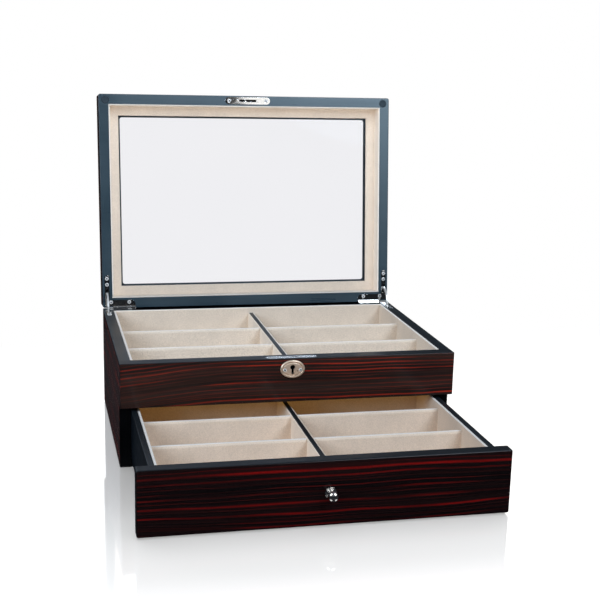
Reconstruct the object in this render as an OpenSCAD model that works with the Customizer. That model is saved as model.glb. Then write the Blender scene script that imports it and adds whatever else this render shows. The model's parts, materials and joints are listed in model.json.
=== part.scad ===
// Spectacles box: a veneered case with a glazed, hinged lid over a divided tray,
// and a divided drawer below the tray.
// Millimetres. +X is to the right, +Y to the back, +Z up. The origin is on the
// underside of the base felt, at the centre of the case.
// It is drawn open: the lid leans back on its stays and the drawer is pulled out.

/* [Case] */
// Width of the case
box_w = 370; // [350:1:390]
// Depth of the case, front face to rear face
box_d = 263; // [255:1:280]
// Height of the case rim above the table
rim_h = 120; // [118:1:126]
// Height of the lower edge of the upper front above the table
front_z = 71; // [70:0.5:72]
// Thickness of the two side panels
side_t = 12; // [12:0.5:14]
// Thickness of the back panel
back_t = 12; // [12:0.5:14]
// Thickness of the upper front panel and of the drawer front
front_t = 15; // [15:0.5:17]
// Thickness of the base panel
base_t = 5; // [4:0.5:5]
// Thickness of the panel under the tray
shelf_t = 5; // [4:0.5:6]
// Thickness of the felt under the case
felt_t = 1; // [0.8:0.1:1.2]

/* [Lining] */
// Thickness of the lining boards on the walls of the tray and drawer
lining_t = 3; // [2:0.5:4]
// Thickness of the lining boards on the floors
floor_lining_t = 2.5; // [2:0.5:3]
// Thickness of the suede boards between the rows
row_t = 7; // [5:0.5:9]
// Thickness of the lacquered board between the columns
centre_t = 4.5; // [3:0.5:6]
// Thickness of the suede on each face of that board
centre_lining_t = 1.5; // [1:0.5:2]
// Drop of the tray's centre board below the rim
tray_drop = 7; // [5:0.5:10]
// Drop of the drawer's centre board below the drawer sides
drawer_drop = 6; // [4:0.5:9]
// Drop of the row boards below the centre board
row_drop = 1; // [0.5:0.5:3]

/* [Lid] */
// Height of the lid
lid_h = 35; // [33:1:40]
// Width of the lid's rails
lid_wall = 12; // [12:0.5:13]
// Thickness of the lid's top panel
lid_top_t = 13; // [10:0.5:13]
// Gap between the rim and the closed lid
part_gap = 0.6; // [0.6:0.1:1.4]
// Angle of the open lid
lid_angle = 96.5; // [92:0.5:98]
// Thickness of the lining boards in the lid
lid_lining_t = 1.6; // [1:0.2:2]
// Thickness of the lined board around the window
mat_t = 2; // [1.5:0.5:2.5]
// Visible width of the lined board around the window
mat_border = 13.2; // [10:0.2:18]
// Width of the dark edge that shows inside that board
window_edge = 2; // [1:0.5:3]
// Thickness of the glass pane
glass_t = 3.2; // [3:0.1:4]

/* [Drawer] */
// How far the drawer is pulled out
drawer_out = 180; // [0:1:190]
// Lower edge of the drawer front above the table
drawer_front_z0 = 1.6; // [1.5:0.1:2.5]
// Upper edge of the drawer front above the table
drawer_front_z1 = 68.2; // [67:0.1:69]
// Top of the drawer sides above the table
drawer_side_z1 = 66.5; // [64:0.5:66.5]
// Thickness of the drawer sides and back
drawer_side_t = 6; // [5:0.5:8]
// Thickness of the drawer bottom
drawer_bottom_t = 4; // [3:0.5:5]
// Diameter of the ball of the knob
knob_d = 10.8; // [10:0.1:12]

/* [Hinges and lock] */
// Length of the hinge barrels
barrel_len = 28; // [28:1:32]
// Diameter of the hinge knuckles
knuckle_d = 4.4; // [4.2:0.1:4.6]
// Diameter of the hinge pins
hinge_pin_d = 2; // [1.6:0.1:2.2]
// Radius of the curved stays about the hinge axis
stay_r = 18; // [17.5:0.5:19]
// Thickness of the hinge, lock and strike plates
plate_t = 1.5; // [1.2:0.1:1.6]
// Width of the keyhole plate
escutcheon_w = 27; // [24:0.5:28]
// Height of the keyhole plate
escutcheon_h = 20; // [19:0.2:21]
// Drop of the keyhole plate's centre below the rim
keyhole_drop = 11.9; // [11.5:0.1:13]

/* [Hidden] */
$fn = 48;
eps = 0.05;

x_out = box_w / 2;
x_in = x_out - side_t;
y_front = -box_d / 2;
y_cheek = y_front + front_t;
y_back = box_d / 2;
y_back_in = y_back - back_t;
z_case = felt_t;
z_base = felt_t + base_t;
z_shelf = front_z + shelf_t;
z_floor = z_shelf + floor_lining_t;

// hinge axis, on the rear edge and half way up the parting gap
ax_y = y_back;
ax_z = rim_h + part_gap / 2;
z_lid = rim_h + part_gap;
z_lid_top = z_lid + lid_h;
z_top_panel = z_lid_top - lid_top_t;
z_mat = z_top_panel - mat_t;
lid_x = x_out - lid_wall;
lid_y = box_d / 2 - lid_wall;
win_x = lid_x - mat_border;
win_y = lid_y - mat_border;

// tray
tray_x = x_in - lining_t;
tray_y0 = y_cheek + lining_t;
tray_y1 = y_back_in - lining_t;
tray_centre_z = rim_h - tray_drop;
half_centre = centre_t / 2 + centre_lining_t;

// drawer, drawn shut and moved forward by drawer_out
side_gap = 0.6;
glide_t = 0.8;
dr_x = x_in - side_gap;
dr_x_in = dr_x - drawer_side_t;
dr_xl = dr_x_in - lining_t;
dr_z0 = z_base + glide_t + 0.3;
dr_z_bottom = dr_z0 + drawer_bottom_t;
dr_z_floor = dr_z_bottom + floor_lining_t - 0.5;
dr_y1 = y_back_in - 1;
dr_y1_in = dr_y1 - drawer_side_t;
dr_yl0 = y_cheek + lining_t;
dr_yl1 = dr_y1_in - lining_t;
dr_centre_z = drawer_side_z1 - drawer_drop;
knob_z = (drawer_front_z0 + drawer_front_z1) / 2 + 0.4;

// hinge leaves, measured from the left end and from the rear face
arm_x = -x_out + 2.7;
arm_w = 5.9;
arm_len = 40.8;
arm_cx = arm_x + arm_w / 2;
rear_w = 9.6;
rear_r = 5.5;
leaf_back = 2;
barrel_x0 = -x_in + 0.5;
barrel_x1 = barrel_x0 + barrel_len;
knuckles = 5;
pitch = barrel_len / knuckles;
kr = knuckle_d / 2;
pin_r = hinge_pin_d / 2;
stay_w = 2;
stay_t = 2.8;
stay_pin_r = 1.1;
stay_end = 10.7;
side_screws = [29, 36.5];
rear_screws = [-x_in - 1.6, -x_in + 20.8];

// lock, in the middle of the front rim
lock_y = y_front + lid_wall / 2;
lock_plate_l = 57;
strike_l = 57;
plate_w = 9;
case_x = 20;
case_y = 3.5;
case_z0 = rim_h - 24;
piv_x = -7.5;
piv_z = rim_h - 9;
hook_r0 = 12.63;
hook_r1 = 15.2;
hook_a0 = -56;
hook_a1 = 28.3;
hook_t = 2;
key_z = rim_h - keyhole_drop;

// colours
c_wood = [0.17, 0.07, 0.06];
c_slate = [0.14, 0.18, 0.22];
c_black = [0.06, 0.06, 0.07];
c_suede = [0.85, 0.79, 0.71];
c_felt = [0.10, 0.10, 0.11];
c_metal = [0.82, 0.82, 0.80];
c_glass = [0.86, 0.90, 0.92, 0.35];

// ---------------------------------------------------------------- helpers

// box between two corners
module block(lo, hi) translate(lo) cube(hi - lo);

// the child and its mirror image across the middle of the box
module both() { children(); mirror([1, 0, 0]) children(); }

// the right-hand twin of a left-hand child
module twin() mirror([1, 0, 0]) children();

// the lid's pieces are drawn shut and turned open about the hinge axis
module opened()
    translate([0, ax_y, ax_z]) rotate([-lid_angle, 0, 0]) translate([0, -ax_y, -ax_z]) children();

// the drawer's pieces are drawn shut and slid forward
module pulled() translate([0, -drawer_out, 0]) children();

// ring sector about the hinge axis; angles rise from the front direction
module hinge_arc(x0, x1, r0, r1, a0, a1)
    translate([x1, ax_y, ax_z]) rotate([90, 0, -90]) rotate([0, 0, a0])
        rotate_extrude(angle = a1 - a0, $fn = 96) translate([r0, 0]) square([r1 - r0, x1 - x0]);

// cylinder along X on the hinge axis
module hinge_rod(x0, x1, r) translate([x0, ax_y, ax_z]) rotate([0, 90, 0]) cylinder(h = x1 - x0, r = r);

// countersunk screw, axis up, head flush with z = 0
module screw_body(head_r, shank_r, len, c = 0) {
    translate([0, 0, -1.3]) cylinder(h = 1.3, r1 = shank_r + c, r2 = head_r + c);
    translate([0, 0, -len - c]) cylinder(h = len + c - 0.6, r = shank_r + c);
    if (c > 0) translate([0, 0, -0.001]) cylinder(h = 0.8, r = head_r + c);
}
module screw(head_r, shank_r, len) difference() {
    screw_body(head_r, shank_r, len);
    for (a = [45, 135]) rotate([0, 0, a]) translate([-head_r * 0.7, -0.28, -0.55]) cube([head_r * 1.4, 0.56, 1]);
}
module screw_hole(head_r, shank_r, len) screw_body(head_r, shank_r, len, eps);

// flat plate with round ends
module stadium(l, w, c = 0) {
    translate([-l / 2 + w / 2, -w / 2 - c]) square([l - w, w + 2 * c]);
    for (s = [-1, 1]) translate([s * (l / 2 - w / 2), 0]) circle(r = w / 2 + c);
}

// slot with round ends between two x positions
module slot_plan(x0, x1, w) {
    translate([x0 + w / 2, -w / 2]) square([x1 - x0 - w, w]);
    for (x = [x0 + w / 2, x1 - w / 2]) translate([x, 0]) circle(d = w);
}

// keyhole outline, x and z about the centre of its plate
module keyhole_plan(c = 0) {
    translate([0, 2]) circle(r = 2.7 + c);
    translate([-1.3 - c, -5.6 - c]) square([2.6 + 2 * c, 6.6]);
}

// bar along X with rounded long edges
module round_bar(x0, x1, y0, y1, z0, z1, r)
    translate([x0, 0, 0]) rotate([90, 0, 90]) linear_extrude(x1 - x0) union() {
        translate([y0 + r, z0]) square([y1 - y0 - 2 * r, z1 - z0]);
        translate([y0, z0 + r]) square([y1 - y0, z1 - z0 - 2 * r]);
        for (y = [y0 + r, y1 - r], z = [z0 + r, z1 - r]) translate([y, z]) circle(r = r);
    }

// suede board along X with a softly rounded top
module row_board(x0, x1, y0, z0, z1)
    translate([x0, 0, 0]) rotate([90, 0, 90]) linear_extrude(x1 - x0) union() {
        r = min(2.5, row_t / 2 - 0.2);
        translate([y0, z0]) square([row_t, z1 - z0 - r]);
        translate([y0 + r, z0]) square([row_t - 2 * r, z1 - z0]);
        for (y = [y0 + r, y0 + row_t - r]) translate([y, z1 - r]) circle(r = r);
    }

// opening that widens upwards from z0 by as much as it rises
module flare(wx, wy, z0, h) intersection() {
    rotate([90, 0, 0]) linear_extrude(600, center = true)
        polygon([[-wx, z0], [wx, z0], [wx + h, z0 + h], [-wx - h, z0 + h]]);
    rotate([90, 0, 90]) linear_extrude(600, center = true)
        polygon([[-wy, z0], [wy, z0], [wy + h, z0 + h], [-wy - h, z0 + h]]);
}

// front faces of the two row boards that split a length into three equal rows
function row_starts(y0, y1) = let (w = (y1 - y0 - 2 * row_t) / 3) [y0 + w, y0 + 2 * w + row_t];

// ---------------------------------------------------------------- hinge leaves

// plan of a left-hand leaf: x, and distance from the rear face
module leaf_plan(c = 0) {
    translate([arm_x - c, leaf_back - c]) square([arm_w + 2 * c, arm_len - arm_w / 2 - leaf_back + c]);
    translate([arm_cx, arm_len - arm_w / 2]) circle(r = arm_w / 2 + c);
    translate([arm_x - c, leaf_back - c]) square([barrel_x0 - arm_x + 2 * c, rear_w - leaf_back + 2 * c]);
    translate([barrel_x0 - c, 0]) square([barrel_len - rear_r + 2 * c, rear_w + c]);
    translate([barrel_x1 - rear_r - 0.5, 0]) square([rear_r + 0.5 + c, rear_w - rear_r]);
    translate([barrel_x1 - rear_r, rear_w - rear_r]) circle(r = rear_r + c);
}
module leaf_slab(z0, z1, c = 0)
    translate([0, y_back, z0]) mirror([0, 1, 0]) linear_extrude(z1 - z0) leaf_plan(c);

// slot that the stay slides through
module leaf_slot(z0, z1)
    translate([arm_cx, y_back - stay_r, z0]) linear_extrude(z1 - z0) rotate([0, 0, 90]) slot_plan(-5.5, 6.5, 2.6);

// knuckles i of the barrel; c widens them into a clearance cut
module knuckle(i, r, c = 0)
    hinge_rod(barrel_x0 + i * pitch + 0.15 - c, barrel_x0 + (i + 1) * pitch - 0.15 + c, r);

// places of the screws of a left-hand leaf
module leaf_screw_places(z) {
    for (d = side_screws) translate([arm_cx, y_back - d, z]) children();
    for (x = rear_screws) translate([x, y_back - 6.9, z]) children();
}

// left-hand leaf of the case: top face flush with the rim
module box_leaf() difference() {
    union() {
        leaf_slab(rim_h - plate_t, rim_h);
        for (i = [0, 2, 4]) knuckle(i, kr);
    }
    for (i = [1, 3]) knuckle(i, kr + 0.3, 0.15);
    hinge_rod(barrel_x0 - 1, barrel_x1 + 1, pin_r + eps);
    leaf_slot(rim_h - plate_t - 1, rim_h + 1);
    leaf_screw_places(rim_h) screw_hole(2.2, 1, 9);
}

// left-hand leaf of the lid: lower face flush with the rails
module lid_leaf() difference() {
    union() {
        leaf_slab(z_lid, z_lid + plate_t);
        for (i = [1, 3]) knuckle(i, kr);
    }
    for (i = [0, 2, 4]) knuckle(i, kr + 0.3, i == 2 ? 0.15 : 0.3);
    hinge_rod(barrel_x0 - 1, barrel_x1 + 1, pin_r + eps);
    leaf_slot(z_lid - 1, z_lid + plate_t + 1);
    leaf_screw_places(z_lid) rotate([180, 0, 0]) screw_hole(2.2, 1, 9);
}

// space for one left-hand hinge in the case panels
module box_hinge_cut() {
    leaf_slab(rim_h - plate_t, rim_h + 1, eps);
    hinge_rod(barrel_x0 - 0.3, barrel_x1 + 0.3, kr + 0.3);
    hinge_arc(arm_cx - 2.65, arm_cx + 2.65, stay_r - 3, stay_r + 3, -66, 6);
    leaf_screw_places(rim_h) screw_hole(2.2, 1, 9);
}

// space for one left-hand hinge in the lid's rails
module lid_hinge_cut() {
    leaf_slab(z_lid - 1, z_lid + plate_t, eps);
    hinge_rod(barrel_x0 - 0.3, barrel_x1 + 0.3, kr + 0.3);
    hinge_arc(arm_cx - 2.65, arm_cx + 2.65, stay_r - 3, stay_r + 3, -6, 66);
    leaf_screw_places(z_lid) rotate([180, 0, 0]) screw_hole(2.2, 1, 9);
}

// curved stay with a cross pin at each end that stops under the slots
module stay() {
    hinge_arc(arm_cx - stay_w / 2, arm_cx + stay_w / 2, stay_r - stay_t / 2, stay_r + stay_t / 2,
        -stay_end, lid_angle + stay_end);
    for (a = [-stay_end, lid_angle + stay_end])
        translate([arm_cx - 2.2, ax_y - stay_r * cos(a), ax_z + stay_r * sin(a)])
            rotate([0, 90, 0]) cylinder(h = 4.4, r = stay_pin_r);
}

// ---------------------------------------------------------------- case

module base_felt() color(c_felt)
    block([-x_out + 1, y_cheek + 1, 0], [x_out - 1, y_back - 1, felt_t]);

module base_panel() color(c_black)
    block([-x_in, y_cheek, z_case], [x_in, y_back_in, z_base]);

module left_side_panel() color(c_wood) difference() {
    block([-x_out, y_cheek, z_case], [-x_in, y_back, rim_h]);
    box_hinge_cut();
}

module right_side_panel() color(c_wood) twin() difference() {
    block([-x_out, y_cheek, z_case], [-x_in, y_back, rim_h]);
    box_hinge_cut();
}

module back_panel() color(c_wood) difference() {
    block([-x_in, y_back_in, z_case], [x_in, y_back, rim_h]);
    both() box_hinge_cut();
}

module upper_front_panel() color(c_wood) difference() {
    block([-x_out, y_front, front_z], [x_out, y_cheek, rim_h]);
    // mortise for the lock, recess for its plate, keyhole
    block([-case_x - 0.2, lock_y - case_y - 0.2, case_z0 - 0.3], [case_x + 0.2, lock_y + case_y + 0.2, rim_h + 1]);
    translate([0, lock_y, rim_h - plate_t]) linear_extrude(plate_t + 1) stadium(lock_plate_l, plate_w, eps);
    lock_screw_places() screw_hole(2, 0.9, 10);
    translate([0, lock_y, key_z]) rotate([90, 0, 0]) linear_extrude(20) keyhole_plan(0.4);
    keyhole_pin_places() keyhole_pin(eps);
}

module tray_floor_panel() color(c_black)
    block([-x_in, y_cheek, front_z], [x_in, y_back_in, z_shelf]);

module drawer_glides() color(c_felt) both()
    block([-dr_x + 1, y_cheek + 6, z_base], [-dr_x_in + 3, y_back_in - 6, z_base + glide_t]);

// ---------------------------------------------------------------- tray

module tray_floor_lining() color(c_suede)
    block([-tray_x, tray_y0, z_shelf], [tray_x, tray_y1, z_floor]);

module tray_side_linings() color(c_suede) both()
    block([-x_in, tray_y0, z_shelf], [-tray_x, tray_y1, rim_h - 0.4]);

module tray_end_linings() color(c_suede) {
    block([-x_in, y_cheek, z_shelf], [x_in, tray_y0, rim_h - 0.4]);
    block([-x_in, tray_y1, z_shelf], [x_in, y_back_in, rim_h - 0.4]);
}

module tray_centre_board() color(c_slate)
    block([-centre_t / 2, tray_y0, z_floor], [centre_t / 2, tray_y1, tray_centre_z]);

module tray_centre_linings() color(c_suede) both()
    block([-half_centre, tray_y0, z_floor], [-centre_t / 2, tray_y1, tray_centre_z - 0.4]);

module tray_row_boards_left() color(c_suede)
    for (y = row_starts(tray_y0, tray_y1)) row_board(-tray_x, -half_centre, y, z_floor, tray_centre_z - row_drop);

module tray_row_boards_right() color(c_suede)
    for (y = row_starts(tray_y0, tray_y1)) row_board(half_centre, tray_x, y, z_floor, tray_centre_z - row_drop);

// ---------------------------------------------------------------- lock

module lock_screw_places() for (s = [-1, 1]) translate([s * 23.3, lock_y, rim_h]) children();
module strike_screw_places() for (s = [-1, 1]) translate([s * 23.3, lock_y, z_lid - 0.3]) rotate([180, 0, 0]) children();
module keyhole_pin_places() for (s = [-1, 1]) translate([s * escutcheon_w * 0.32, y_front, key_z - 1]) rotate([90, 0, 0]) children();
module keyhole_pin(c = 0) {
    translate([0, 0, -1.9 - c]) cylinder(h = 3.4 + c, r = 0.6 + c);
    translate([0, 0, 1.4]) cylinder(h = 0.4, r = 2 + c);
}

// oval outline of the keyhole plate
module oval(w, h) polygon([for (i = [0:71]) [w / 2 * cos(i * 5), h / 2 * sin(i * 5)]]);

module lock_case() color(c_metal) difference() {
    block([-case_x, lock_y - case_y, case_z0], [case_x, lock_y + case_y, rim_h - plate_t]);
    block([-case_x + 1, lock_y - case_y + 1, case_z0 + 1], [case_x - 1, lock_y + case_y - 1, rim_h]);
    translate([0, lock_y, key_z]) rotate([90, 0, 0]) linear_extrude(20) keyhole_plan(0.2);
}

module lock_pivot_pin() color(c_metal)
    translate([piv_x, lock_y + case_y - 1, piv_z]) rotate([90, 0, 0]) cylinder(h = 2 * case_y - 2, r = 1.5);

module lock_plate() color(c_metal) difference() {
    translate([0, lock_y, rim_h - plate_t]) linear_extrude(plate_t) difference() {
        stadium(lock_plate_l, plate_w);
        slot_plan(0.4, 10.4, 2.8);
    }
    lock_screw_places() screw_hole(2, 0.9, 10);
}

module lock_screws() color(c_metal) lock_screw_places() screw(2, 0.9, 10);

module lock_hook() color(c_metal) translate([piv_x, lock_y, piv_z]) rotate([90, 0, 0]) difference() {
    union() {
        rotate([0, 0, hook_a0]) rotate_extrude(angle = hook_a1 - hook_a0, $fn = 96)
            translate([hook_r0, -hook_t / 2]) square([hook_r1 - hook_r0, hook_t]);
        rotate([0, 0, hook_a0 + 5]) translate([0, -1.3, -hook_t / 2]) cube([hook_r0 + 1, 2.6, hook_t]);
        cylinder(h = hook_t, r = 3.2, center = true);
    }
    cylinder(h = hook_t + 2, r = 1.55, center = true);
}

module keyhole_plate() color(c_metal) difference() {
    union() {
        translate([0, y_front, key_z]) rotate([90, 0, 0]) linear_extrude(1) oval(escutcheon_w, escutcheon_h);
        translate([0, y_front - 1, key_z]) rotate([90, 0, 0]) linear_extrude(0.4) oval(escutcheon_w - 1.6, escutcheon_h - 1.6);
        translate([0, y_front - 1.4, key_z]) rotate([90, 0, 0]) linear_extrude(0.4)
            difference() { oval(escutcheon_w - 1.6, escutcheon_h - 1.6); oval(escutcheon_w - 4.4, escutcheon_h - 4.4); }
    }
    translate([0, y_front + 1, key_z]) rotate([90, 0, 0]) linear_extrude(5) keyhole_plan();
    keyhole_pin_places() translate([0, 0, -1]) cylinder(h = 4, r = 0.65);
}

module keyhole_plate_pins() color(c_metal) keyhole_pin_places() keyhole_pin();

// ---------------------------------------------------------------- hinges

module hinge_box_leaf_left() color(c_metal) box_leaf();
module hinge_box_leaf_right() color(c_metal) twin() box_leaf();
module hinge_pins() color(c_metal) both() hinge_rod(barrel_x0 + 0.1, barrel_x1 - 0.1, pin_r);
module hinge_box_screws() color(c_metal) both() leaf_screw_places(rim_h) screw(2.2, 1, 9);
module stay_left() color(c_metal) stay();
module stay_right() color(c_metal) twin() stay();
module hinge_lid_leaf_left() color(c_metal) opened() lid_leaf();
module hinge_lid_leaf_right() color(c_metal) opened() twin() lid_leaf();
module hinge_lid_screws() color(c_metal) opened() both()
    leaf_screw_places(z_lid) rotate([180, 0, 0]) screw(2.2, 1, 9);

// ---------------------------------------------------------------- lid

module bumper_places() both() translate([-x_out + 8.4, lock_y + 1, rim_h + 0.3]) children();

module lid_front_rail() color(c_wood) opened() difference() {
    block([-lid_x, -box_d / 2, z_lid], [lid_x, -lid_y, z_top_panel]);
    // recess for the strike plate, pocket for the hook
    translate([0, lock_y, z_lid - 1]) linear_extrude(1 + plate_t - 0.3) stadium(strike_l, plate_w, eps);
    block([-12, lock_y - 1.9, z_lid], [12, lock_y + 1.9, z_lid + 6.5]);
    strike_screw_places() screw_hole(2, 0.9, 9);
    bumper_places() cylinder(h = 1.4, r = 4.8);
}

module lid_back_rail() color(c_wood) opened() difference() {
    block([-lid_x, lid_y, z_lid], [lid_x, box_d / 2, z_top_panel]);
    both() lid_hinge_cut();
}

module lid_side_rail() difference() {
    block([-x_out, -box_d / 2, z_lid], [-lid_x, box_d / 2, z_top_panel]);
    lid_hinge_cut();
    bumper_places() cylinder(h = 1.4, r = 4.8);
}
module lid_left_rail() color(c_wood) opened() lid_side_rail();
module lid_right_rail() color(c_wood) opened() twin() lid_side_rail();

module lid_top_panel() color(c_wood) opened() difference() {
    block([-x_out, -box_d / 2, z_top_panel], [x_out, box_d / 2, z_lid_top]);
    // rebate for the glass, then the window with rounded corners
    block([-win_x - 3.4, -win_y - 3.4, z_top_panel - 1], [win_x + 3.4, win_y + 3.4, z_top_panel + glass_t]);
    wx = win_x - window_edge;
    wy = win_y - window_edge;
    translate([0, 0, z_top_panel]) linear_extrude(lid_top_t + 1) {
        square([2 * wx - 6, 2 * wy], center = true);
        square([2 * wx, 2 * wy - 6], center = true);
        for (x = [-wx + 3, wx - 3], y = [-wy + 3, wy - 3]) translate([x, y]) circle(r = 3);
    }
    // bevel round the outside of the window
    flare(wx, wy, z_top_panel + glass_t + 1.5, lid_top_t);
}

module lid_glass() color(c_glass) opened()
    block([-win_x - 3.1, -win_y - 3.1, z_top_panel], [win_x + 3.1, win_y + 3.1, z_top_panel + glass_t]);

module lid_window_mat() color(c_suede) opened() difference() {
    block([-lid_x, -lid_y, z_mat], [lid_x, lid_y, z_top_panel]);
    block([-win_x, -win_y, z_mat - 1], [win_x, win_y, z_top_panel + 1]);
}

module lid_side_linings() color(c_suede) opened() both()
    block([-lid_x, -lid_y + lid_lining_t, z_lid + 0.3], [-lid_x + lid_lining_t, lid_y - lid_lining_t, z_mat]);

module lid_end_linings() color(c_suede) opened() {
    block([-lid_x, -lid_y, z_lid + 0.3], [lid_x, -lid_y + lid_lining_t, z_mat]);
    block([-lid_x, lid_y - lid_lining_t, z_lid + 0.3], [lid_x, lid_y, z_mat]);
}

module strike_plate() color(c_metal) opened() difference() {
    translate([0, lock_y, z_lid - 0.3]) linear_extrude(plate_t) difference() {
        stadium(strike_l, plate_w);
        slot_plan(-11, -4.3, 2.8);
        slot_plan(-2.5, 10.6, 2.8);
    }
    strike_screw_places() screw_hole(2, 0.9, 9);
}

module strike_screws() color(c_metal) opened() strike_screw_places() screw(2, 0.9, 9);

module lid_bumpers() color(c_black) opened() bumper_places() cylinder(h = 1.4, r = 4.75);

// ---------------------------------------------------------------- drawer

module drawer_front() color(c_wood) pulled() difference() {
    round_bar(-x_out, x_out, y_front, y_cheek, drawer_front_z0, drawer_front_z1, 1.5);
    translate([0, y_cheek + 1, knob_z]) rotate([90, 0, 0]) cylinder(h = front_t + 2, r = 2.1);
    translate([0, y_cheek + 1, knob_z]) rotate([90, 0, 0]) cylinder(h = 3.8, r = 4.2);
}

module drawer_side() block([-dr_x, y_cheek, dr_z0], [-dr_x_in, dr_y1, drawer_side_z1]);
module drawer_left_side() color(c_black) pulled() drawer_side();
module drawer_right_side() color(c_black) pulled() twin() drawer_side();

module drawer_back() color(c_black) pulled()
    block([-dr_x_in, dr_y1_in, dr_z0], [dr_x_in, dr_y1, drawer_side_z1]);

module drawer_bottom() color(c_black) pulled()
    block([-dr_x_in, y_cheek, dr_z0], [dr_x_in, dr_y1_in, dr_z_bottom]);

module drawer_floor_lining() color(c_suede) pulled()
    block([-dr_xl, dr_yl0, dr_z_bottom], [dr_xl, dr_yl1, dr_z_floor]);

module drawer_side_linings() color(c_suede) pulled() both()
    block([-dr_x_in, dr_yl0, dr_z_bottom], [-dr_xl, dr_yl1, drawer_side_z1 - 0.4]);

module drawer_end_linings() color(c_suede) pulled() {
    block([-dr_x_in, y_cheek, dr_z_bottom], [dr_x_in, dr_yl0, drawer_side_z1 - 0.4]);
    block([-dr_x_in, dr_yl1, dr_z_bottom], [dr_x_in, dr_y1_in, drawer_side_z1 - 0.4]);
}

module drawer_centre_board() color(c_slate) pulled()
    block([-centre_t / 2, dr_yl0, dr_z_floor], [centre_t / 2, dr_yl1, dr_centre_z]);

module drawer_centre_linings() color(c_suede) pulled() both()
    block([-half_centre, dr_yl0, dr_z_floor], [-centre_t / 2, dr_yl1, dr_centre_z - 0.4]);

module drawer_row_boards_left() color(c_suede) pulled()
    for (y = row_starts(dr_yl0, dr_yl1)) row_board(-dr_xl, -half_centre, y, dr_z_floor, dr_centre_z - row_drop);

module drawer_row_boards_right() color(c_suede) pulled()
    for (y = row_starts(dr_yl0, dr_yl1)) row_board(half_centre, dr_xl, y, dr_z_floor, dr_centre_z - row_drop);

// ball knob on a turned neck and a round base, axis along -Y, with a tapped hole
module drawer_knob() color(c_metal) pulled() translate([0, y_front, knob_z]) rotate([90, 0, 0]) difference() {
    union() {
        cylinder(h = 2, r = 5.8);
        cylinder(h = 7, r = 2.9);
        translate([0, 0, 5.1 + knob_d / 2]) sphere(d = knob_d);
    }
    translate([0, 0, -1]) cylinder(h = 10, r = 2.05);
}

// machine screw from the back of the drawer front into the knob
module drawer_knob_screw() color(c_metal) pulled() translate([0, y_cheek, knob_z]) rotate([90, 0, 0]) difference() {
    union() {
        translate([0, 0, 0.3]) cylinder(h = 2.5, r = 3.8);
        translate([0, 0, 1]) cylinder(h = front_t + 6, r = 2);
    }
    for (a = [0, 90]) rotate([0, 0, a]) translate([-2.4, -0.4, -1]) cube([4.8, 0.8, 2.4]);
}

// ---------------------------------------------------------------- the assembly

base_felt();
base_panel();
left_side_panel();
right_side_panel();
back_panel();
upper_front_panel();
tray_floor_panel();
drawer_glides();
tray_floor_lining();
tray_side_linings();
tray_end_linings();
tray_centre_board();
tray_centre_linings();
tray_row_boards_left();
tray_row_boards_right();
lock_case();
lock_pivot_pin();
lock_plate();
lock_screws();
lock_hook();
keyhole_plate();
keyhole_plate_pins();
hinge_box_leaf_left();
hinge_box_leaf_right();
hinge_pins();
hinge_box_screws();
stay_left();
stay_right();
hinge_lid_leaf_left();
hinge_lid_leaf_right();
hinge_lid_screws();
lid_front_rail();
lid_back_rail();
lid_left_rail();
lid_right_rail();
lid_top_panel();
lid_glass();
lid_window_mat();
lid_side_linings();
lid_end_linings();
strike_plate();
strike_screws();
lid_bumpers();
drawer_front();
drawer_left_side();
drawer_right_side();
drawer_back();
drawer_bottom();
drawer_floor_lining();
drawer_side_linings();
drawer_end_linings();
drawer_centre_board();
drawer_centre_linings();
drawer_row_boards_left();
drawer_row_boards_right();
drawer_knob();
drawer_knob_screw();
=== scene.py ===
import json
import math

import bmesh
import bpy
from mathutils import Matrix, Vector, noise

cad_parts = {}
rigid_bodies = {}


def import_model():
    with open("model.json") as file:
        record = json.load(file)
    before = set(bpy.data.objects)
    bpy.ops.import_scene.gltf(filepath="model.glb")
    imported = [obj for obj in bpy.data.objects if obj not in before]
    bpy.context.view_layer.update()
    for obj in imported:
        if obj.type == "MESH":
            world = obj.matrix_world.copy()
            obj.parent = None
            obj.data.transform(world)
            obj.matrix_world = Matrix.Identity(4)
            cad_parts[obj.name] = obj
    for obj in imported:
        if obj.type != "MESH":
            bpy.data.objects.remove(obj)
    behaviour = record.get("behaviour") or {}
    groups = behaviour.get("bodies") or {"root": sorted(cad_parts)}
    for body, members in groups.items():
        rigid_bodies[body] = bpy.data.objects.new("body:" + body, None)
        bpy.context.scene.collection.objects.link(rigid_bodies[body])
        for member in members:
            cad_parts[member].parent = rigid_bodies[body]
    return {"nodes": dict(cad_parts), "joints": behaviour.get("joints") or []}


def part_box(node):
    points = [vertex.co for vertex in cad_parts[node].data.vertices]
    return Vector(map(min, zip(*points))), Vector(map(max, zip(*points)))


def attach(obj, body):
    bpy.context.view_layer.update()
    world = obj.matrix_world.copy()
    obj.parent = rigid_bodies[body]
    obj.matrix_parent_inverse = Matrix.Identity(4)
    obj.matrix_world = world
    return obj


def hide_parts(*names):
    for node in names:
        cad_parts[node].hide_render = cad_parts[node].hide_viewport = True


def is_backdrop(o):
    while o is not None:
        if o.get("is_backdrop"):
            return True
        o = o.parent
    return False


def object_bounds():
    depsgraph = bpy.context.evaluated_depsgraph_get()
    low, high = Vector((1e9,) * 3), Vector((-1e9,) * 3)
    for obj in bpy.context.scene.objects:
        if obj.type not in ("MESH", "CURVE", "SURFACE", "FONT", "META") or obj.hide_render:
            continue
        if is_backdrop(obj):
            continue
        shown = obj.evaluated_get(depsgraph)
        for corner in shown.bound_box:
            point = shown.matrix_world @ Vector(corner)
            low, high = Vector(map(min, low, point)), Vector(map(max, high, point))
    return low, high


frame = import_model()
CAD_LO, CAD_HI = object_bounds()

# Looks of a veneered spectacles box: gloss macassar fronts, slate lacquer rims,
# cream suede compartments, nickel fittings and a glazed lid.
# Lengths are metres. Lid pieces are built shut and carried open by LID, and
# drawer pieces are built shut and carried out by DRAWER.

MM = 0.001
NODES = frame["nodes"]
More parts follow.
